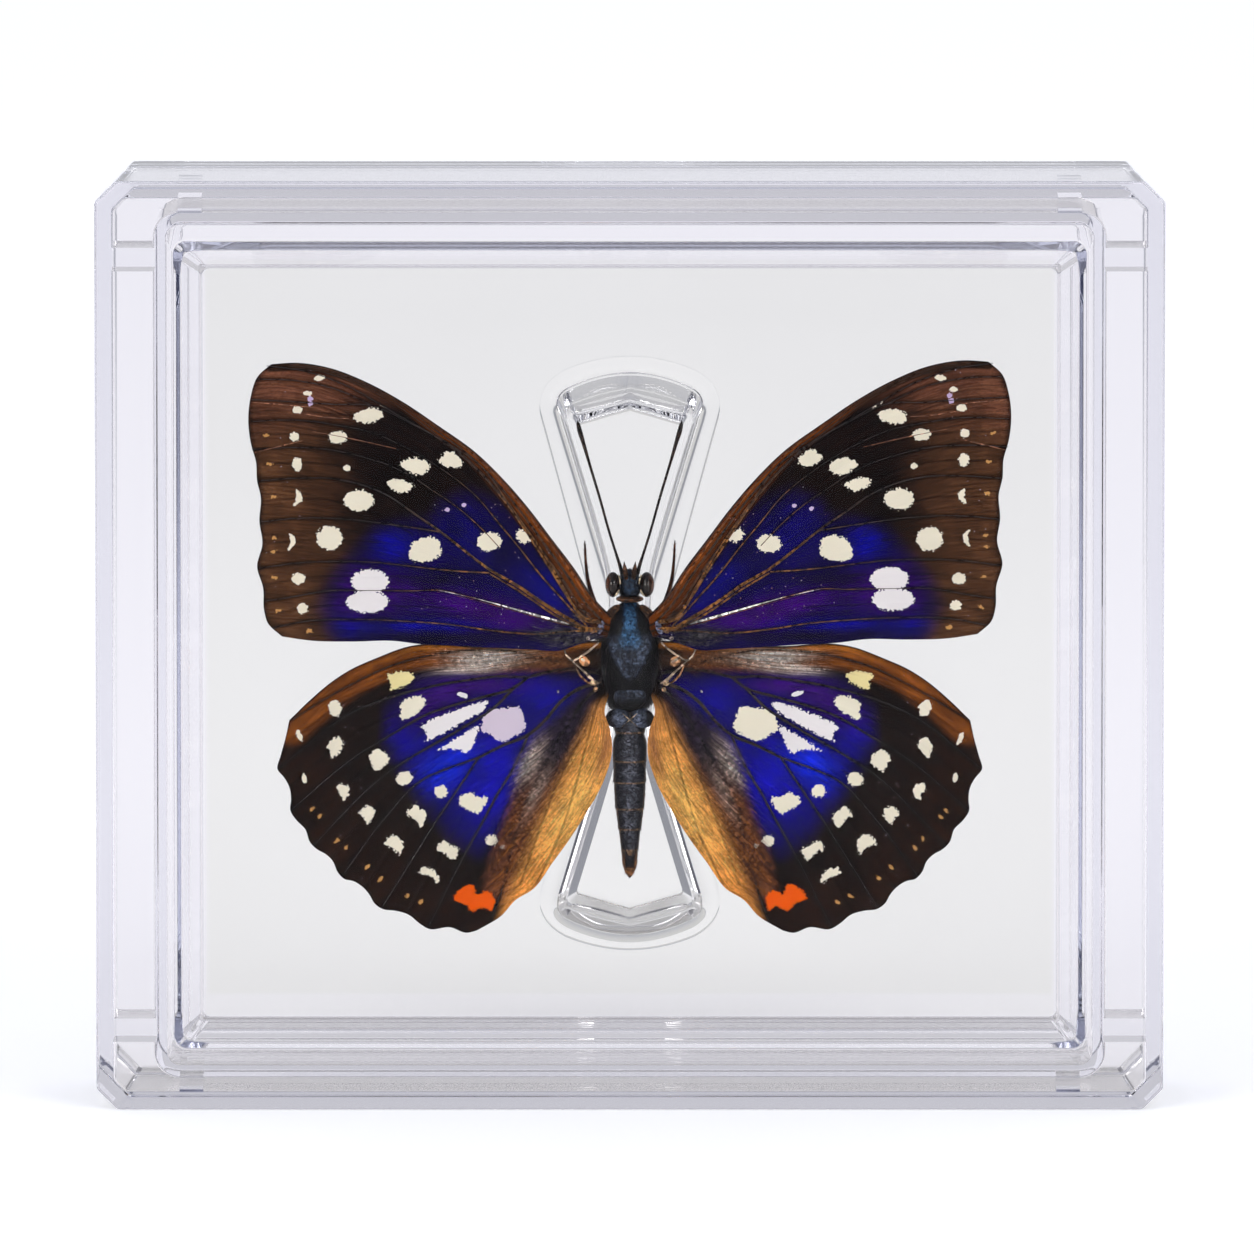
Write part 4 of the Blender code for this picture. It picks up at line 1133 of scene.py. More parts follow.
def wing_finish(name):
    """Scale-covered membrane.

    The wing's fields give the ground colour, the spots, the veins, and light specks that are partly dust
    and partly painted glints of single scales. Streaks that run from root to margin, smoky clouds, and
    the single scales make it lighter and darker. A spot shows where its depth, in its own raggedness,
    passes the distance to the middle of the nearest tuft of scales, so that its edge is made of small
    round teeth.
    """
    finish = bpy.data.materials.new(name)
    finish.use_nodes = True
    tree = finish.node_tree
    place = add(tree, "ShaderNodeTexCoord").outputs["Object"]
    flow = add(tree, "ShaderNodeAttribute", attribute_name="flow").outputs["Vector"]
    ground = add(tree, "ShaderNodeAttribute", attribute_name="ground").outputs["Color"]
    spot = add(tree, "ShaderNodeAttribute", attribute_name="spot").outputs["Fac"]
    spot_colour = add(tree, "ShaderNodeAttribute", attribute_name="spot_colour").outputs["Color"]
    vein = add(tree, "ShaderNodeAttribute", attribute_name="vein").outputs["Fac"]
    pepper = add(tree, "ShaderNodeAttribute", attribute_name="pepper").outputs["Fac"]
    combed = add(tree, "ShaderNodeMapping", {"Vector": flow, "Scale": (1.0, 0.06, 1.0)}).outputs[0]
    streak = add(tree, "ShaderNodeTexNoise", {
        "Vector": combed, "Scale": 3.6, "Detail": 3.0, "Roughness": 0.7,
    }).outputs["Fac"]
    smoke = add(tree, "ShaderNodeTexNoise", {
        "Vector": place, "Scale": 230.0, "Detail": 2.0, "Roughness": 0.6,
    }).outputs["Fac"]
    scale = add(tree, "ShaderNodeTexVoronoi", {"Vector": place, "Scale": 6500.0})
    shade = add(tree, "ShaderNodeSeparateXYZ", {0: scale.outputs["Color"]}).outputs["X"]
    streaky = ramp(tree, streak, 0.30, 0.72, 0.55, 1.55)
    light = calc(tree, "MULTIPLY", streaky, ramp(tree, smoke, 0.32, 0.68, 0.75, 1.25))
    light = calc(tree, "MULTIPLY", light, calc(tree, "MULTIPLY_ADD", shade, 0.6, 0.7))
    toned = blend(tree, 1.0, ground, grey(tree, light), "MULTIPLY")
    halo = ramp(tree, vein, 0.05, 0.45, 0.3, 1.0)
    dark = blend(tree, 1.0, toned, grey(tree, halo), "MULTIPLY")
    # Light specks in pink to pale lilac, partly dust and partly painted glints of single scales, shown where
    # the speck share from the vertices beats a random value.
    speck = add(tree, "ShaderNodeTexVoronoi", {"Vector": place, "Scale": 1500.0})
    lot = add(tree, "ShaderNodeSeparateXYZ", {0: speck.outputs["Color"]})
    shown = calc(tree, "GREATER_THAN", pepper, lot.outputs["Y"])
    dust_and_glint_speck = calc(tree, "MULTIPLY", shown, ramp(tree, speck.outputs["Distance"], 0.06, 0.13, 0.8, 0.0))
    dark = blend(tree, dust_and_glint_speck, dark, blend(tree, lot.outputs["X"], (0.5, 0.25, 0.28, 1), (0.75, 0.72, 0.9, 1)))
    tuft = add(tree, "ShaderNodeTexVoronoi", {"Vector": place, "Scale": 3300.0}).outputs["Distance"]
    edge = calc(tree, "ADD", spot, calc(tree, "MULTIPLY", calc(tree, "SUBTRACT", 0.42, tuft), 2.3))
    shows = ramp(tree, edge, -0.12, 0.18)
    chalky = grey(tree, calc(tree, "MULTIPLY_ADD", streak, 0.14, 0.93))
    chalk = blend(tree, 1.0, spot_colour, chalky, "MULTIPLY")
    shader = tree.nodes["Principled BSDF"]
    tree.links.new(blend(tree, shows, dark, chalk), shader.inputs["Base Color"])
    tree.links.new(calc(tree, "MULTIPLY_ADD", shade, 0.25, 0.42), shader.inputs["Roughness"])
    height = scale.outputs["Distance"]
    bump = add(tree, "ShaderNodeBump", {"Height": height, "Distance": 0.02 * MM, "Strength": 0.5})
    tree.links.new(bump.outputs[0], shader.inputs["Normal"])
    shader.inputs["Specular IOR Level"].default_value = 0.04
    return finish


def wing_depth(wing, out):
    """Depth of the wing's middle surface in mm: it sweeps back as the square of the distance out."""
    level, sweep = wing["depth"]
    return level + sweep * (out / HALF_SPAN) ** 2


def folds_of(veins, pairs):
    """Fine folds half way between neighbouring veins, over their outer parts."""
    share = np.linspace(0.42, 0.97, 9)
    curves = [smooth_curve(vein, share) for vein in veins]
    return [0.5 * (curves[first] + curves[second]) for first, second in pairs]


def wing_mesh(name, wing, sheet, side, lift, fields, finish):
    """Thin closed plate over the sheet; between the veins the membrane bellies a little forward."""
    place = sheet.reshape(-1, 2)
    belly = 0.16 * (1 - np.exp(-fields["vein"] / 0.9)) - 0.05 * np.exp(-(fields["fold"] / 0.22) ** 2)
    depth = wing_depth(wing, place[:, 0]) - belly
    edge_thin = 0.35 + 0.65 * np.sin(pi * np.linspace(0, 1, GRID_ROWS)) ** 0.3
    half = np.repeat(edge_thin, GRID_COLUMNS) * WING_THICK / 2
    height = place[:, 1] + lift * place[:, 0] / HALF_SPAN
    front = np.stack([side * place[:, 0], depth - half, height], axis=1) * MM
    back = np.stack([side * place[:, 0], depth + half, height], axis=1) * MM
    index = np.arange(len(place)).reshape(GRID_ROWS, GRID_COLUMNS)
    quads = np.stack(
        [index[:-1, :-1], index[1:, :-1], index[1:, 1:], index[:-1, 1:]], axis=-1,
    ).reshape(-1, 4)
    edge = np.concatenate([index[:-1, 0], index[-1, :-1], index[:0:-1, -1], index[0, :0:-1]])
    after = np.roll(edge, -1)
    rim = np.stack([edge, edge + len(place), after + len(place), after], axis=1)
    faces = np.concatenate([quads, quads[:, ::-1] + len(place), rim])
    shell = facing_out(np.concatenate([front, back]), faces, np.zeros((0, 3), int))
    under = {key: values.copy() for key, values in fields.items()}
    pale = np.array([*linear(150, 138, 112), 1.0])
    under["ground"] = 0.75 * pale + 0.25 * under["ground"]
    doubled = {key: np.concatenate([fields[key], under[key]]) for key in fields}
    return make_object(name, shell, finish, doubled)


def strip_width(out):
    """Share of its full width that the forewing's striped front edge keeps, less and less outwards."""
    return 1 - 0.65 * np.clip((out - 8) / 22, 0, 1)


def vein_lines(wing, thick, near, far):
    """Lines along the veins: points, the radius at each, and the colour at the root and far from it."""
    lines = []
    for line, root_radius in zip(wing["veins"], thick):
        knots = smooth_curve(line, np.linspace(0, 1, 26))
        reach = np.linalg.norm(knots - WING_ROOT, axis=1)
        lines.append((knots, np.clip(root_radius * (1 - reach / 52), 0.05, root_radius), near, far))
    return lines


def edge_line(wing, inset, radius, near, far):
    """Line beside the front edge, moved in by an inset that shrinks outwards as the strip does."""
    knots = smooth_curve(wing["costa"], np.linspace(0.015, 0.96, 40))
    way = np.gradient(knots, axis=0)
    inward = np.stack([way[:, 1], -way[:, 0]], axis=1) / np.linalg.norm(way, axis=1, keepdims=True)
    width = strip_width(knots[:, 0])
    return knots + inset * width[:, None] * inward, radius * width, near, far


def ridges(name, wing, side, lift, finish, lines):
    """Thin flattened tubes on the front of a wing, each coloured from its near to its far colour."""
    shells, tints = [], []
    for knots, radius, near, far in lines:
        belly = 0.16 * (1 - np.exp(-line_distance(knots, wing["veins"]) / 0.9))
        depth = wing_depth(wing, knots[:, 0]) - belly - 0.06
        height = knots[:, 1] + lift * knots[:, 0] / HALF_SPAN
        grid = swept(np.stack([side * knots[:, 0], depth, height, radius], axis=1), 8, 60, 0.8)
        reach = np.linalg.norm(grid.mean(axis=1)[:, [0, 2]] / MM * (side, 1) - WING_ROOT, axis=1)
        tint = tinted(near, (np.repeat(soft_step(reach, 12, 34), 8), far))
        shells.append(closed_tube(grid))
        tints.append(np.concatenate([tint, tint[:1], tint[-1:]]))
    return make_object(name, joined(shells), finish, {"tint": np.concatenate(tints)})


CREAM = (255, 247, 228)
CHALK = (255, 250, 255)
LILAC = (214, 190, 232)
TAN = (214, 158, 92)
ORANGE = (255, 98, 2)
FORE_SPOTS = [
    (CREAM, oval(39.3, 91.8, 0.75, 0.4, -10)), (CREAM, oval(40.9, 90.0, 0.6, 0.34, 0)),
    (LILAC, oval(40.5, 89.3, 0.38, 0.36, 0)), (LILAC, oval(40.6, 88.6, 0.38, 0.36, 0)),
    (CREAM, oval(42.2, 87.7, 0.7, 0.5, 0)), (CREAM, oval(33.2, 86.8, 1.95, 1.0, -8)),
    (CREAM, oval(42.4, 84.5, 0.65, 0.65, 0)), (CREAM, oval(37.0, 84.3, 1.2, 0.82, 0)),
    (CREAM, oval(42.2, 81.0, 0.9, 0.7, 90)), (CREAM, oval(36.0, 80.5, 0.5, 0.42, 0)),
    (CREAM, oval(34.2, 76.2, 1.95, 1.45, 0)), (CREAM, oval(37.9, 71.3, 1.75, 1.6, 0)),
    (CREAM, oval(26.0, 70.3, 2.1, 1.35, -18)), (CREAM, oval(26.1, 69.6, 2.2, 1.2, -8)),
    (CREAM, oval(17.6, 70.9, 1.65, 1.25, -5)), (CREAM, oval(41.9, 66.2, 0.9, 0.8, 0)),
    (CHALK, oval(32.9, 65.95, 2.5, 1.6, 0)), (CHALK, oval(33.2, 63.5, 2.75, 1.5, 0)),
    (CREAM, oval(41.3, 62.6, 0.78, 0.7, 0)), (TAN, oval(40.6, 59.7, 0.45, 0.3, 15)),
    (LILAC, oval(21.0, 75.7, 0.34, 0.3, 0)), (LILAC, oval(23.1, 75.1, 0.32, 0.3, 0)),
    (CREAM, [(29.4, 81.0), (27.7, 82.0), (25.8, 81.5), (25.1, 80.5), (26.4, 79.4), (28.1, 79.9)]),
    (CREAM, [(24.3, 81.6), (22.8, 83.0), (20.7, 81.1), (22.2, 80.1), (24.2, 81.1)]),
    (CREAM, [(31.05, 78.7), (29.6, 79.3), (27.4, 78.4), (27.1, 78.2), (28.5, 77.1), (30.2, 77.7)]),
    (
        CREAM,
        [
            (42.65, 77.7), (42.0, 77.4), (41.5, 76.75), (41.8, 76.0), (43.05, 75.3), (42.6, 76.2),
            (42.5, 76.8),
        ],
    ),
    (
        CREAM,
        [(43.4, 72.4), (42.6, 71.9), (42.2, 71.3), (42.6, 70.4), (43.6, 69.7), (43.1, 70.6), (43.0, 71.5)],
    ),
    (CREAM, [(14.55, 72.1), (13.65, 73.0), (12.1, 71.1), (12.7, 71.2), (13.2, 70.8), (14.2, 71.2)]),
    (TAN, oval(46.1, 84.5, 0.45, 0.24, 20)), (TAN, oval(45.5, 80.8, 0.45, 0.24, 10)),
    (TAN, oval(45.2, 76.8, 0.45, 0.24, 0)),
    (TAN, oval(45.1, 71.5, 0.4, 0.24, 20)), (TAN, oval(45.0, 69.9, 0.4, 0.24, -20)),
    (TAN, oval(44.9, 66.3, 0.45, 0.24, 0)),
    (TAN, oval(44.5, 62.3, 0.45, 0.24, -10)),
    (CREAM, [(30.2, 87.6), (31.3, 88.3), (32.4, 88.8), (31.3, 88.0)]),
]
HIND_SPOTS = [
    (
        (255, 238, 176),
        [
            (31.0, 54.0), (29.9, 54.3), (28.8, 54.6), (27.9, 54.4), (27.0, 53.8), (28.2, 52.7),
            (30.5, 51.8), (30.3, 52.9),
        ],
    ),
    (
        CREAM,
        [
            (29.4, 50.2), (28.5, 51.0), (26.9, 51.4), (25.8, 50.9), (26.2, 49.7), (27.9, 48.4),
            (29.5, 48.0), (29.1, 49.3),
        ],
    ),
    (CREAM, oval(37.4, 49.5, 1.15, 0.85, 75)), (CREAM, oval(41.9, 46.1, 0.95, 0.34, 65)),
    (CREAM, [(38.6, 44.9), (37.2, 46.2), (36.2, 45.4), (36.6, 44.0), (37.9, 43.0), (38.0, 44.0)]),
    (
        CREAM,
        [
            (33.2, 43.2), (32.6, 44.3), (31.7, 44.6), (30.5, 43.7), (30.5, 42.7), (31.4, 42.0),
            (32.2, 41.5), (32.6, 42.3),
        ],
    ),
    (CREAM, oval(28.6, 40.7, 1.1, 0.95, -20)), (CREAM, oval(24.0, 39.2, 0.95, 0.85, 0)),
    (CREAM, oval(41.2, 40.7, 0.7, 0.32, 80)),
    (CREAM, [(37.7, 39.7), (37.0, 40.2), (35.9, 39.8), (35.7, 38.9), (36.6, 37.6), (37.1, 38.8)]),
    (CREAM, [(34.6, 36.2), (33.9, 37.1), (32.9, 37.3), (32.2, 36.3), (33.3, 34.5), (33.9, 35.6)]),
    (
        CREAM,
        [(28.5, 36.1), (27.1, 37.8), (26.4, 36.9), (25.6, 36.3), (25.7, 35.3), (26.5, 34.2), (27.2, 35.6)],
    ),
    (
        CREAM,
        [
            (31.5, 32.3), (30.4, 33.6), (29.5, 33.6), (28.6, 32.6), (28.7, 31.7), (29.2, 30.8),
            (29.8, 31.6), (30.7, 32.1),
        ],
    ),
    (
        CREAM,
        [(24.9, 31.6), (23.9, 33.2), (22.9, 32.4), (21.6, 31.9), (21.8, 31.1), (22.5, 30.1), (23.6, 31.4)],
    ),
    (CREAM, oval(17.5, 32.9, 0.8, 0.75, 0)), (CREAM, oval(16.2, 32.1, 0.38, 0.32, 0)),
    (
        CREAM,
        [(26.9, 28.5), (26.4, 29.4), (25.5, 29.5), (24.5, 28.9), (23.9, 27.9), (24.2, 27.1), (25.2, 28.2)],
    ),
    (
        ORANGE,
        [
            (22.6, 25.2), (22.3, 26.1), (21.4, 26.9), (20.5, 27.3), (19.9, 27.2), (19.4, 25.8),
            (18.9, 26.3), (18.0, 26.6), (17.3, 25.8), (17.1, 24.9), (17.7, 23.6), (18.2, 24.1),
            (18.9, 24.3), (20.2, 23.6), (20.9, 24.7),
        ],
    ),
    (
        CHALK,
        [
            (26.9, 47.3), (25.1, 48.3), (21.0, 49.9), (18.4, 50.7), (18.0, 50.4), (18.4, 49.4),
            (20.7, 48.1), (23.1, 46.7), (26.2, 45.1), (25.7, 46.5),
        ],
    ),
    (
        CHALK,
        [
            (24.7, 44.3), (22.3, 45.8), (19.2, 47.7), (19.0, 47.3), (19.4, 46.3), (19.7, 45.2),
            (20.7, 43.8), (21.5, 44.4), (22.3, 44.5), (23.4, 44.5),
        ],
    ),
    (CHALK, oval(21.2, 51.4, 0.8, 0.34, 15)),
    (
        CREAM,
        [
            (21.7, 38.4), (20.2, 39.3), (19.2, 38.4), (17.9, 38.6), (18.0, 37.7), (19.1, 36.1),
            (20.1, 36.6), (21.2, 37.2), (21.7, 37.6),
        ],
    ),
] + [(TAN, oval(out, height, 0.45, 0.24, -45)) for out, height in (
    (40.2, 36.7), (39.4, 35.9), (37.1, 32.9), (36.1, 31.9), (33.3, 29.3), (31.7, 27.9), (28.1, 25.7),
    (26.4, 24.8),
)]
INNER_PATCH = [
    (18.6, 48.8), (17.3, 49.7), (16.0, 49.7), (14.1, 50.1), (13.6, 49.4), (13.4, 48.5), (12.9, 47.5),
    (13.6, 46.5), (14.7, 46.0), (16.0, 45.3), (17.3, 45.8), (18.0, 46.7), (18.9, 46.5),
]
EDGE_STRIPES = (
    (0.0, 0), (0.15, 0), (0.3, 1), (1.0, 1), (1.1, 0), (1.3, 0), (1.4, 0.7), (1.8, 0.7), (1.9, 0), (2.1, 0),
    (2.2, 0.35), (2.6, 0.3), (2.9, 0),
)
FORE_FOLDS = ((1, 2), (2, 3), (3, 4), (4, 5), (5, 6), (6, 7), (7, 8))
HIND_FOLDS = ((0, 1), (1, 2), (2, 3), (3, 4), (4, 6), (6, 7), (7, 8))
FORE_BLUE = [
    (3, 60), (8, 65.5), (12.5, 72), (16.5, 75.6), (20.5, 77.2), (23.6, 75.8), (25.2, 73.6), (28.5, 73.4),
    (31.8, 72.4), (34.6, 69.5), (37.6, 66), (39, 62.5), (37, 58), (20, 55), (5, 56),
]
HIND_BLUE = [
    (5, 53.5), (12, 54.6), (20, 54.0), (27, 52.8), (30.2, 49.6), (30.4, 45.5), (28.2, 41), (25.6, 37.5),
    (22.5, 33.8), (19.2, 31.2), (17, 33), (14.6, 38), (12, 43), (8, 48),
]
HIND_HAIRY = [
    (5.0, 52.2), (8.0, 50.0), (11.0, 46.5), (13.4, 41), (15.2, 36), (17.4, 30.5), (18.2, 26), (15.6, 25),
    (13.2, 31), (11.2, 36), (8.6, 41), (6.3, 46), (4.4, 50),
]
HIND_GOLD = [
    (2.4, 50.8), (4.4, 49.6), (6.3, 45.5), (8.8, 40.3), (11.3, 35.2), (13.4, 30.0), (15.6, 25.0),
    (17.0, 21.0), (12, 22), (3, 32), (0.5, 44),
]


def fore_ground(place, sheet_rows, edge_distance, strand):
    """Ground colour of the forewing: dark brown, blue-violet over its inner half, striped front edge."""
    out, height = place.T
    margin = soft_step(sheet_rows, 0.70, 0.97)
    apex = soft_step(height + 0.35 * out, 97, 106)
    blue = zone(place, FORE_BLUE, 2.0)
    azure = patch(place, (30.2, 70.6), (2.4, 2.2)) + 0.8 * patch(place, (26.0, 60.3), (7.0, 0.7))
    azure += 0.4 * patch(place, (36, 59.8), (4, 1.2))
    root = patch(place, (10.5, 65.0), (4.5, 2.6), 0.75) + 0.5 * patch(place, (20, 71.5), (5, 3), 0.6)
    violet = patch(place, (19, 62.6), (8.5, 1.5), 0.22) + patch(place, (33.2, 64.8), (4.6, 3.0))
    violet += 0.5 * patch(place, (15, 60.4), (7, 1.0))
    dark = patch(place, (24.5, 66.2), (5.0, 1.0)) + patch(place, (22, 58.8), (12, 0.8))
    dark += 0.7 * patch(place, (15.5, 69.5), (2.2, 3.0), 0.7)
    strip = edge_distance / strip_width(out)
    rusty = 1 - soft_step(out, 25, 35)
    stripe = np.interp(strip, *np.transpose(EDGE_STRIPES))
    band = 1 - soft_step(strip, 2.5, 3.0)
    hem = 1 - soft_step(edge_distance, 0.12, 0.3)
    rim = soft_step(sheet_rows, 0.985, 0.998)
    return tinted(
        (20, 9, 6), (0.9 * margin, (90, 58, 36)), (0.8 * apex * (0.7 + 0.6 * strand), (112, 68, 50)),
        (0.96 * blue, (15, 5, 68)), (0.9 * blue * root, (8, 7, 112)),
        (0.9 * blue * violet, (52, 3, 104)), (0.95 * blue * azure, (3, 6, 150)),
        (0.75 * blue * dark, (12, 6, 26)),
        (band, (38, 22, 13)), (stripe * rusty * (0.6 + 0.4 * strand), (122, 60, 12)),
        (stripe * (1 - rusty), (72, 44, 28)),
        (0.8 * hem, (26, 17, 12)), (0.7 * rim, (26, 18, 14)),
    )


def hind_ground(place, sheet_rows, edge_distance, strand):
    """Ground colour of the hindwing: brown margin, blue middle, gold-haired inner fold lightened by a
    painted glow.
    """
    out, height = place.T
    margin = soft_step(sheet_rows, 0.74, 0.98)
    blue = zone(place, HIND_BLUE, 2.0)
    violet = patch(place, (25.5, 50.6), (5.5, 2.4), -0.4) + patch(place, (19, 52.9), (6, 1.3))
    azure = patch(place, (23.2, 42.2), (3.6, 2.2), -0.6)
    bright = patch(place, (17.5, 40.5), (5.5, 4.2), -0.9) + 0.55 * patch(place, (11.5, 51.5), (4, 2.2), 0.5)
    bright += 0.5 * patch(place, (29, 46), (3, 3))
    front = (1 - soft_step(edge_distance, 2.2, 3.8)) * soft_step(out, 5, 9)
    rust = (1 - soft_step(out, 24, 35)) * (1 - soft_step(edge_distance, 0.5, 1.1))
    silver = patch(place, (17.3, 56.5), (4.2, 0.7)) + patch(place, (19.2, 55.0), (3.8, 0.6), -0.1)
    silver *= 0.35 + 1.2 * strand ** 1.5
    taupe = patch(place, (12.0, 56.0), (6.5, 1.0))
    hairy = zone(place, HIND_HAIRY, 1.1)
    tan_hair = patch(place, (12.0, 43.4), (1.0, 2.6), 0.4)
    tan_hair += 0.5 * patch(place, (11.2, 39.6), (0.6, 3.5), 0.42)
    tan_hair *= 0.4 + 0.9 * strand
    gold = zone(place, HIND_GOLD, 1.3)
    pale = patch(place, (7.0, 37.6), (1.7, 6.0), 0.5) * (0.75 + 0.3 * strand)
    body_side = patch(place, (2.9, 45.5), (0.9, 3.6), 0.05)
    body_side += 0.7 * patch(place, (3.9, 42.5), (0.5, 3.2), 0.3)
    upper = soft_step(height, 47.5, 51.0)
    low = 1 - soft_step(height, 26, 33)
    lower = soft_step(45 - height, 0, 8)
    hem = 1 - soft_step(edge_distance, 0.12, 0.3)
    rim = soft_step(sheet_rows, 0.985, 0.998)
    return tinted(
        (21, 10, 6), (0.85 * margin, (35, 17, 8)), (0.97 * blue, (16, 8, 92)),
        (0.9 * blue * bright, (11, 6, 180)), (0.9 * blue * violet, (48, 7, 106)),
        (0.95 * blue * azure, (2, 36, 228)), (0.85 * front, (134, 72, 22)), (0.9 * rust, (170, 100, 32)),
        (0.8 * taupe * (0.5 + 0.5 * strand), (128, 94, 72)), (0.95 * silver, (255, 238, 228)),
        (0.9 * hairy, (50, 40, 54)), (0.9 * hairy * lower * (0.5 + 0.5 * strand), (150, 86, 36)),
        # Painted glow: the gold and its pale core are lighter than the fold's own colour, standing in for
        # light shining through the thin wing.
        (0.9 * tan_hair, (238, 210, 196)), (0.97 * gold * (0.88 + 0.12 * strand), (250, 168, 84)),
        (0.9 * gold * pale, (255, 196, 104)), (0.5 * gold * upper, (150, 100, 66)),
        (0.6 * gold * body_side, (136, 84, 56)),
        (0.5 * gold * low, (196, 118, 44)), (0.8 * hem, (26, 17, 12)), (0.6 * rim, (28, 19, 14)),
    )


def wing_fields(wing, folds, ground, spots, wander, pepper):
    """All the values that the wing's material reads, worked out on the grid."""
    sheet = wing_sheet(wing)
    place = sheet.reshape(-1, 2)
    rows, columns = np.meshgrid(np.linspace(0, 1, GRID_ROWS), np.linspace(0, 1, GRID_COLUMNS), indexing="ij")
    vein = line_distance(place, wing["veins"])
    fold = line_distance(place, folds_of(wing["veins"], folds) + wing["creases"])
    edge_distance = line_distance(place, [wing["costa"]])
    start, waves = chance.random((2, 1, GRID_COLUMNS)) * [[[2 * pi]], [[24.0]]]
    strand = 0.5 + 0.5 * np.sin(start + waves * rows)
    colours = ground(place, rows.ravel(), edge_distance, strand.ravel())
    # Painted shade and highlight: the ground is darkened along each fold line and lightened in a narrow band
    # 0.3 mm to each side of it.
    fold_shade_and_highlight = 1 - 0.55 * np.exp(-(fold / 0.14) ** 2) + 0.25 * np.exp(-((fold - 0.3) / 0.12) ** 2)
    colours[:, :3] *= fold_shade_and_highlight[:, None]
    depth, tones = spot_fields(place, spots, wander)
    flow = np.stack([columns.ravel() * FLOW_WIDE, rows.ravel() * FLOW_LONG, 0 * vein], axis=1)
    # Share of light specks, partly dust and partly painted glints of single scales: a little everywhere,
    # more in the given patches.
    dust_and_glint_share = 0.07 + sum(share * patch(place, middle, half) for share, middle, half in pepper)
    return sheet, {
        "ground": colours, "spot": depth, "spot_colour": tones, "vein": vein, "fold": fold, "flow": flow,
        "pepper": dust_and_glint_share,
    }


def wing_hair(name, wing, sheet, side, lift, furry, tones, count, length, width):
    """Fine hairs laid along a wing from its root out, thickest where the furry share is highest."""
    height = sheet[..., 1] + lift * sheet[..., 0] / HALF_SPAN
    grid = np.stack([side * sheet[..., 0], wing_depth(wing, sheet[..., 0]) - 0.16, height], axis=-1) * MM
    out, down = grid_frame(grid, wrap=False)
    across, up = sheet[..., 0], sheet[..., 1]
    cell_area = np.gradient(across, axis=0) * np.gradient(up, axis=1)
    cell_area = np.abs(cell_area - np.gradient(across, axis=1) * np.gradient(up, axis=0))
    density = furry.reshape(GRID_ROWS, GRID_COLUMNS) * cell_area
    shell, cells = hairs(grid, out, down, count, length * MM, 0.05, 0.035, width * MM, density)
    tints = hair_colours(tones.reshape(GRID_ROWS, GRID_COLUMNS, 4)[cells], 0.4)
    fur = make_object(name, shell, wing_hair_finish, {"tint": tints})
    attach(fur, "root")


vein_finish = body_finish("wing_veins", 0.35, 3000.0, 0.01 * MM, 0.3)
fore_finish = wing_finish("forewing_scales")
hind_finish = wing_finish("hindwing_scales")
wing_hair_finish = body_finish("wing_hair", 0.45, 3000.0, 0.01 * MM, 0.1, 2.0)
ROOT_HAIR_GREY = (88, 84, 88)
FORE_THICK = (0.15, 0.16, 0.11, 0.1, 0.27, 0.16, 0.14, 0.08, 0.13, 0.08, 0.15)
HIND_THICK = (0.14, 0.2, 0.21, 0.21, 0.18, 0.25, 0.18, 0.21, 0.2)
WHITE_LINE = [
    (6.4, 60.25, 0.03), (7.6, 60.55, 0.10), (9.5, 61.05, 0.14), (11.5, 61.6, 0.14), (14.0, 62.3, 0.11),
    (17.0, 63.15, 0.07), (20.5, 64.05, 0.045), (24.4, 64.9, 0.03),
]
LIGHT_STREAKS = (
    [(47.8, 88.75, 0.02), (44.4, 88.5, 0.06), (40.0, 88.1, 0.02)],
    [(41.8, 87.4, 0.02), (38.6, 86.9, 0.06), (35.5, 86.7, 0.02)],
    [(47.8, 82.3, 0.02), (44.6, 83.1, 0.06), (41.4, 83.9, 0.02)],
    [(40.3, 85.1, 0.02), (35.0, 84.1, 0.05), (29.6, 82.9, 0.02)],
)
for side, word in ((-1, "left"), (1, "right")):
    inner_tone = (232, 218, 240) if side < 0 else CREAM
    spots = [(tone, rounded(outline)) for tone, outline in HIND_SPOTS + [(inner_tone, INNER_PATCH)]]
    pepper = ((0.9, (31.6, 48.4), (1.9, 1.6)), (0.3, (20, 34), (4, 4)))
    sheet, fields = wing_fields(HIND, HIND_FOLDS, hind_ground, spots, 0.1, pepper)
    hindwing = wing_mesh("hindwing_membrane_" + word, HIND, sheet, side, 0.0, fields, hind_finish)
    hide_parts("hindwing_" + word)
    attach(hindwing, "root")
    lines = vein_lines(HIND, HIND_THICK, (34, 23, 18), (20, 15, 14))
    lines.append(edge_line(HIND, 0.05, 0.12, (50, 30, 16), (26, 17, 12)))
    veins = ridges("hindwing_veins_" + word, HIND, side, 0.0, vein_finish, lines)
    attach(veins, "root")
    place = sheet.reshape(-1, 2)
    furry = 0.25 * zone(place, HIND_GOLD, 0.6) + 1.2 * zone(place, HIND_HAIRY, 0.8)
    furry += 1.2 * patch(place, (12.0, 43.2), (1.2, 2.8), 0.4)
    furry += 1.2 * patch(place, (15.5, 55.8), (6.5, 1.2)) + 0.9 * patch(place, (6.5, 56.4), (3.5, 1.4))
    furry *= soft_step(place[:, 1], 26.5, 31) * (place[:, 0] > 3.0)
    # Painted glow: the hairs take 1.7 times the ground colour under them, lighter than their own colour,
    # standing in for light shining through the wing.
    wing_hair(
        "hindwing_hair_" + word, HIND, sheet, side, 0.0, furry, 1.7 * fields["ground"], 9000, 2.4, 0.012,
    )

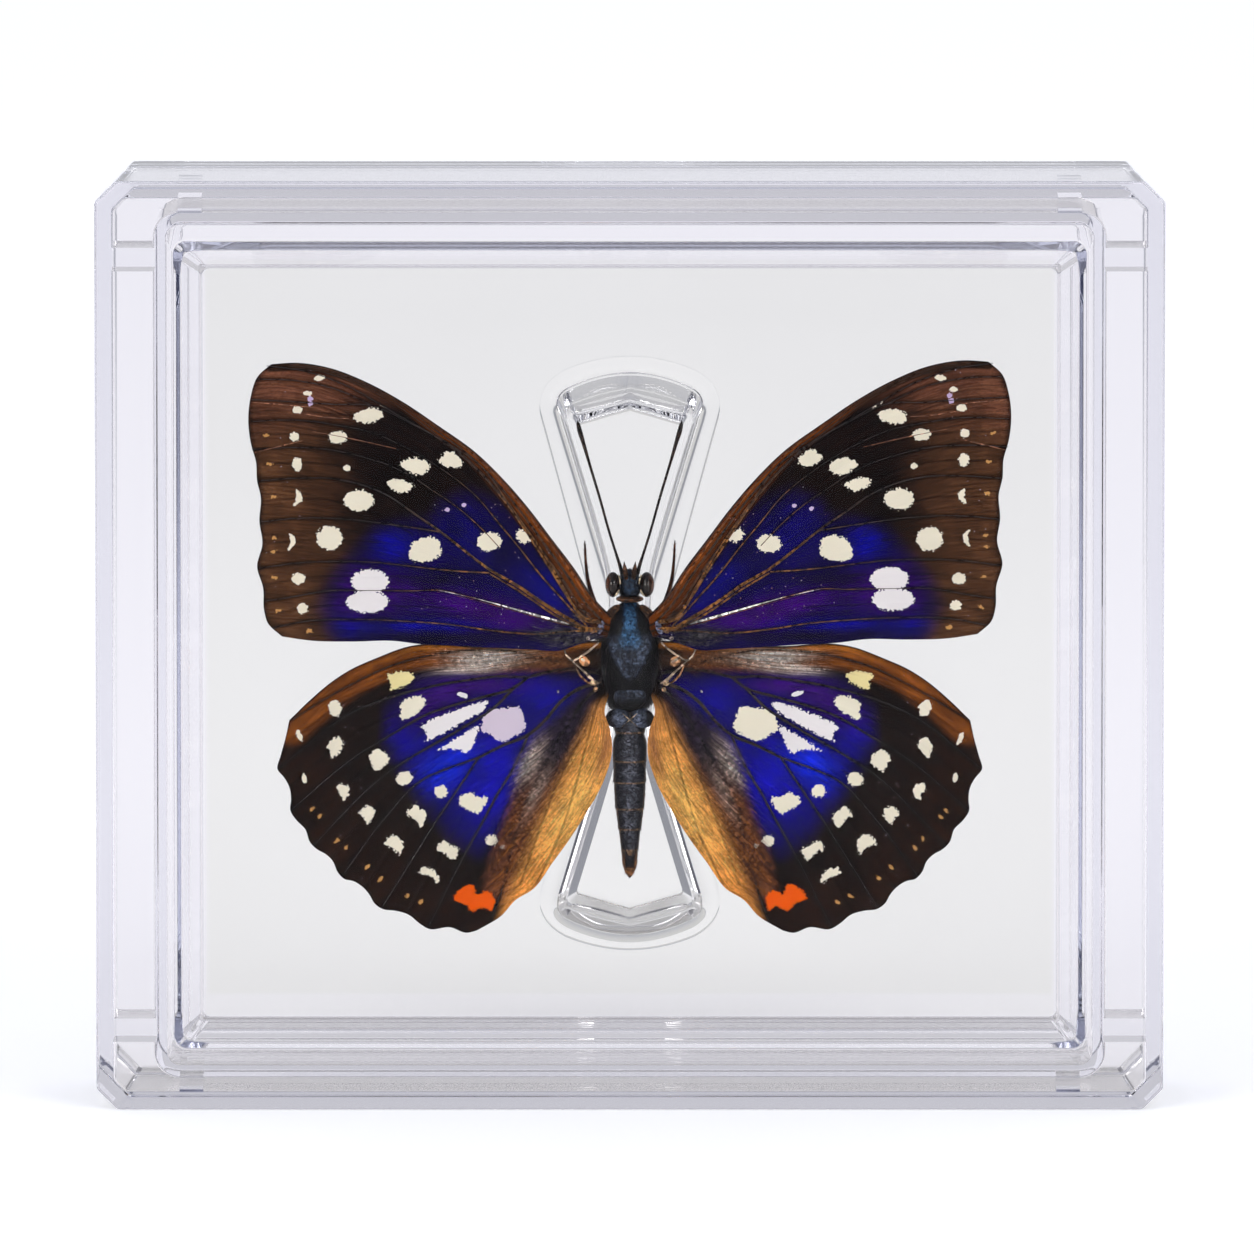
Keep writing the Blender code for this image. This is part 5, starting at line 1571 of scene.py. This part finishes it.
for side, word in ((-1, "left"), (1, "right")):
    lift = 0.35 if side > 0 else 0.0
    spots = [(tone, rounded(outline)) for tone, outline in FORE_SPOTS]
    pepper = ((0.25, (27, 64), (9, 4)), (0.12, (24, 76), (8, 4)))
    sheet, fields = wing_fields(FORE, FORE_FOLDS, fore_ground, spots, 0.1, pepper)
    forewing = wing_mesh("forewing_membrane_" + word, FORE, sheet, side, lift, fields, fore_finish)
    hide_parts("forewing_" + word)
    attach(forewing, "root")
    lines = vein_lines(FORE, FORE_THICK, (112, 70, 26), (36, 28, 28))
    lines.append(edge_line(FORE, 0.1, 0.13, (48, 26, 13), (32, 20, 14)))
    lines.append(edge_line(FORE, 0.55, 0.11, (116, 60, 15), (60, 38, 22)))
    lines.append(edge_line(FORE, 1.2, 0.13, (56, 32, 15), (34, 22, 15)))
    lines.append(edge_line(FORE, 2.0, 0.10, (72, 42, 20), (34, 22, 15)))
    for streak in LIGHT_STREAKS:
        streak = np.array(streak)
        lines.append((streak[:, :2], streak[:, 2], (150, 96, 70), (150, 96, 70)))
    white = np.array(WHITE_LINE)
    lines.append((white[:, :2], white[:, 2], (252, 248, 244), (170, 110, 170)))
    lines.append((white[:, :2] - (0, 0.24), 0.4 * white[:, 2], (128, 66, 40), (90, 40, 70)))
    veins = ridges("forewing_veins_" + word, FORE, side, lift, vein_finish, lines)
    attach(veins, "root")
    place = sheet.reshape(-1, 2)
    furry = patch(place, (6.6, 58.7), (3.4, 0.8), 0.1) + 0.25 * patch(place, (7.0, 60.6), (3.0, 0.8), -0.4)
    tones = np.tile((*linear(*ROOT_HAIR_GREY), 1.0), (len(place), 1))
    wing_hair("forewing_hair_" + word, FORE, sheet, side, lift, furry, tones, 900, 1.8, 0.014)

# The cover: one clear acrylic moulding with a window set back behind a sloping bezel, a wide
# border, the outer wall, a skirt that reaches back over the tray's wall, and short webs between.
SKIRT_OUT = (7.5 * MM, 4.1 * MM)
SKIRT_END = 11.6 * MM
BEZEL_OUT = (10.9 * MM, 8.7 * MM)
BEZEL_SLOPE = 2.5 * MM
BEZEL_DEPTH = 3.8 * MM
BEZEL_UNDER = 1.05 * MM
BEZEL_CORNER = 1.6 * MM
WINDOW_CORNER = 1.0 * MM
HIP_REACH = 6.5 * MM
HIP_RISE = 0.35 * MM
WEB_THICK = 3.0 * MM
WEB_DEPTH = 9.0 * MM
SIDE_WEB_FROM_EDGE = 10.0 * MM
TOP_WEB_FROM_MIDDLE = 55.5 * MM
WEB_BITE = 0.5 * MM

window_y = FRONT + BEZEL_DEPTH
under_border = FRONT + PLATE
cover_rim = PARTING - PARTING_GAP / 2
skirt_inner = SKIRT_CORNER - SKIRT_THICK
cover_profile = softened([
    inside(BEZEL_OUT, BEZEL_SLOPE + HIP_REACH + 6 * MM, window_y + HIP_RISE, WINDOW_CORNER, 0.0),
    inside(BEZEL_OUT, BEZEL_SLOPE + HIP_REACH, window_y + HIP_RISE, WINDOW_CORNER, 2.5 * MM),
    inside(BEZEL_OUT, BEZEL_SLOPE, window_y, WINDOW_CORNER, 0.35 * MM),
    inside(BEZEL_OUT, 0.0, FRONT, BEZEL_CORNER, 0.3 * MM),
    outside(0.0, FRONT, 0.5 * MM),
    outside(0.0, cover_rim, 0.3 * MM),
    outside(OUTER_WALL, cover_rim, 0.3 * MM),
    outside(OUTER_WALL, under_border, 0.5 * MM),
    inside(SKIRT_OUT, 0.0, under_border, SKIRT_CORNER, 0.25 * MM),
    inside(SKIRT_OUT, 0.0, SKIRT_END, SKIRT_CORNER, 0.3 * MM),
    inside(SKIRT_OUT, SKIRT_THICK, SKIRT_END, skirt_inner, 0.3 * MM),
    inside(SKIRT_OUT, SKIRT_THICK, under_border, skirt_inner, 0.2 * MM),
    inside(BEZEL_OUT, -BEZEL_UNDER, under_border, BEZEL_CORNER, 0.2 * MM),
    inside(BEZEL_OUT, BEZEL_SLOPE - BEZEL_UNDER, window_y + PLATE, WINDOW_CORNER, 0.4 * MM),
    inside(
        BEZEL_OUT, BEZEL_SLOPE - BEZEL_UNDER + HIP_REACH, window_y + PLATE + HIP_RISE, WINDOW_CORNER,
        2.5 * MM,
    ),
    inside(
        BEZEL_OUT, BEZEL_SLOPE - BEZEL_UNDER + HIP_REACH + 6 * MM, window_y + PLATE + HIP_RISE,
        WINDOW_CORNER, 0.0,
    ),
])
cover = make_object("clear_cover", closed_tube(case_rings(cover_profile)), acrylic)


def web_block(middle, half):
    """Plain block as a tube of two square rings along the depth: each corner is the middle plus or
    minus half the size."""
    corner = np.array([(1, 1), (-1, 1), (-1, -1), (1, -1)])
    rings = [np.insert(corner, 1, depth, axis=1) * half + middle for depth in (-1, 1)]
    return closed_tube(np.array(rings))


near = under_border - WEB_BITE
far = under_border + WEB_DEPTH
level = (near + far) / 2
outer = OUTER_WALL - WEB_BITE
side_reach, top_reach = (inset + WEB_BITE for inset in SKIRT_OUT)
side_web = ((side_reach - outer) / 2, (far - near) / 2, WEB_THICK / 2)
top_web = (WEB_THICK / 2, (far - near) / 2, (top_reach - outer) / 2)
blocks = []
for across in (-1, 1):
    for up in (-1, 1):
        x = across * (CASE_WIDTH / 2 - (outer + side_reach) / 2)
        z = CASE_HEIGHT / 2 + up * (CASE_HEIGHT / 2 - SIDE_WEB_FROM_EDGE)
        blocks.append(web_block((x, level, z), side_web))
        z = CASE_HEIGHT / 2 + up * (CASE_HEIGHT / 2 - (outer + top_reach) / 2)
        blocks.append(web_block((across * TOP_WEB_FROM_MIDDLE, level, z), top_web))
carved(cover, [("UNION", make_object("cover_webs", joined(blocks), acrylic))])
even_shading(cover)
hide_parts("case_front")
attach(cover, "root")
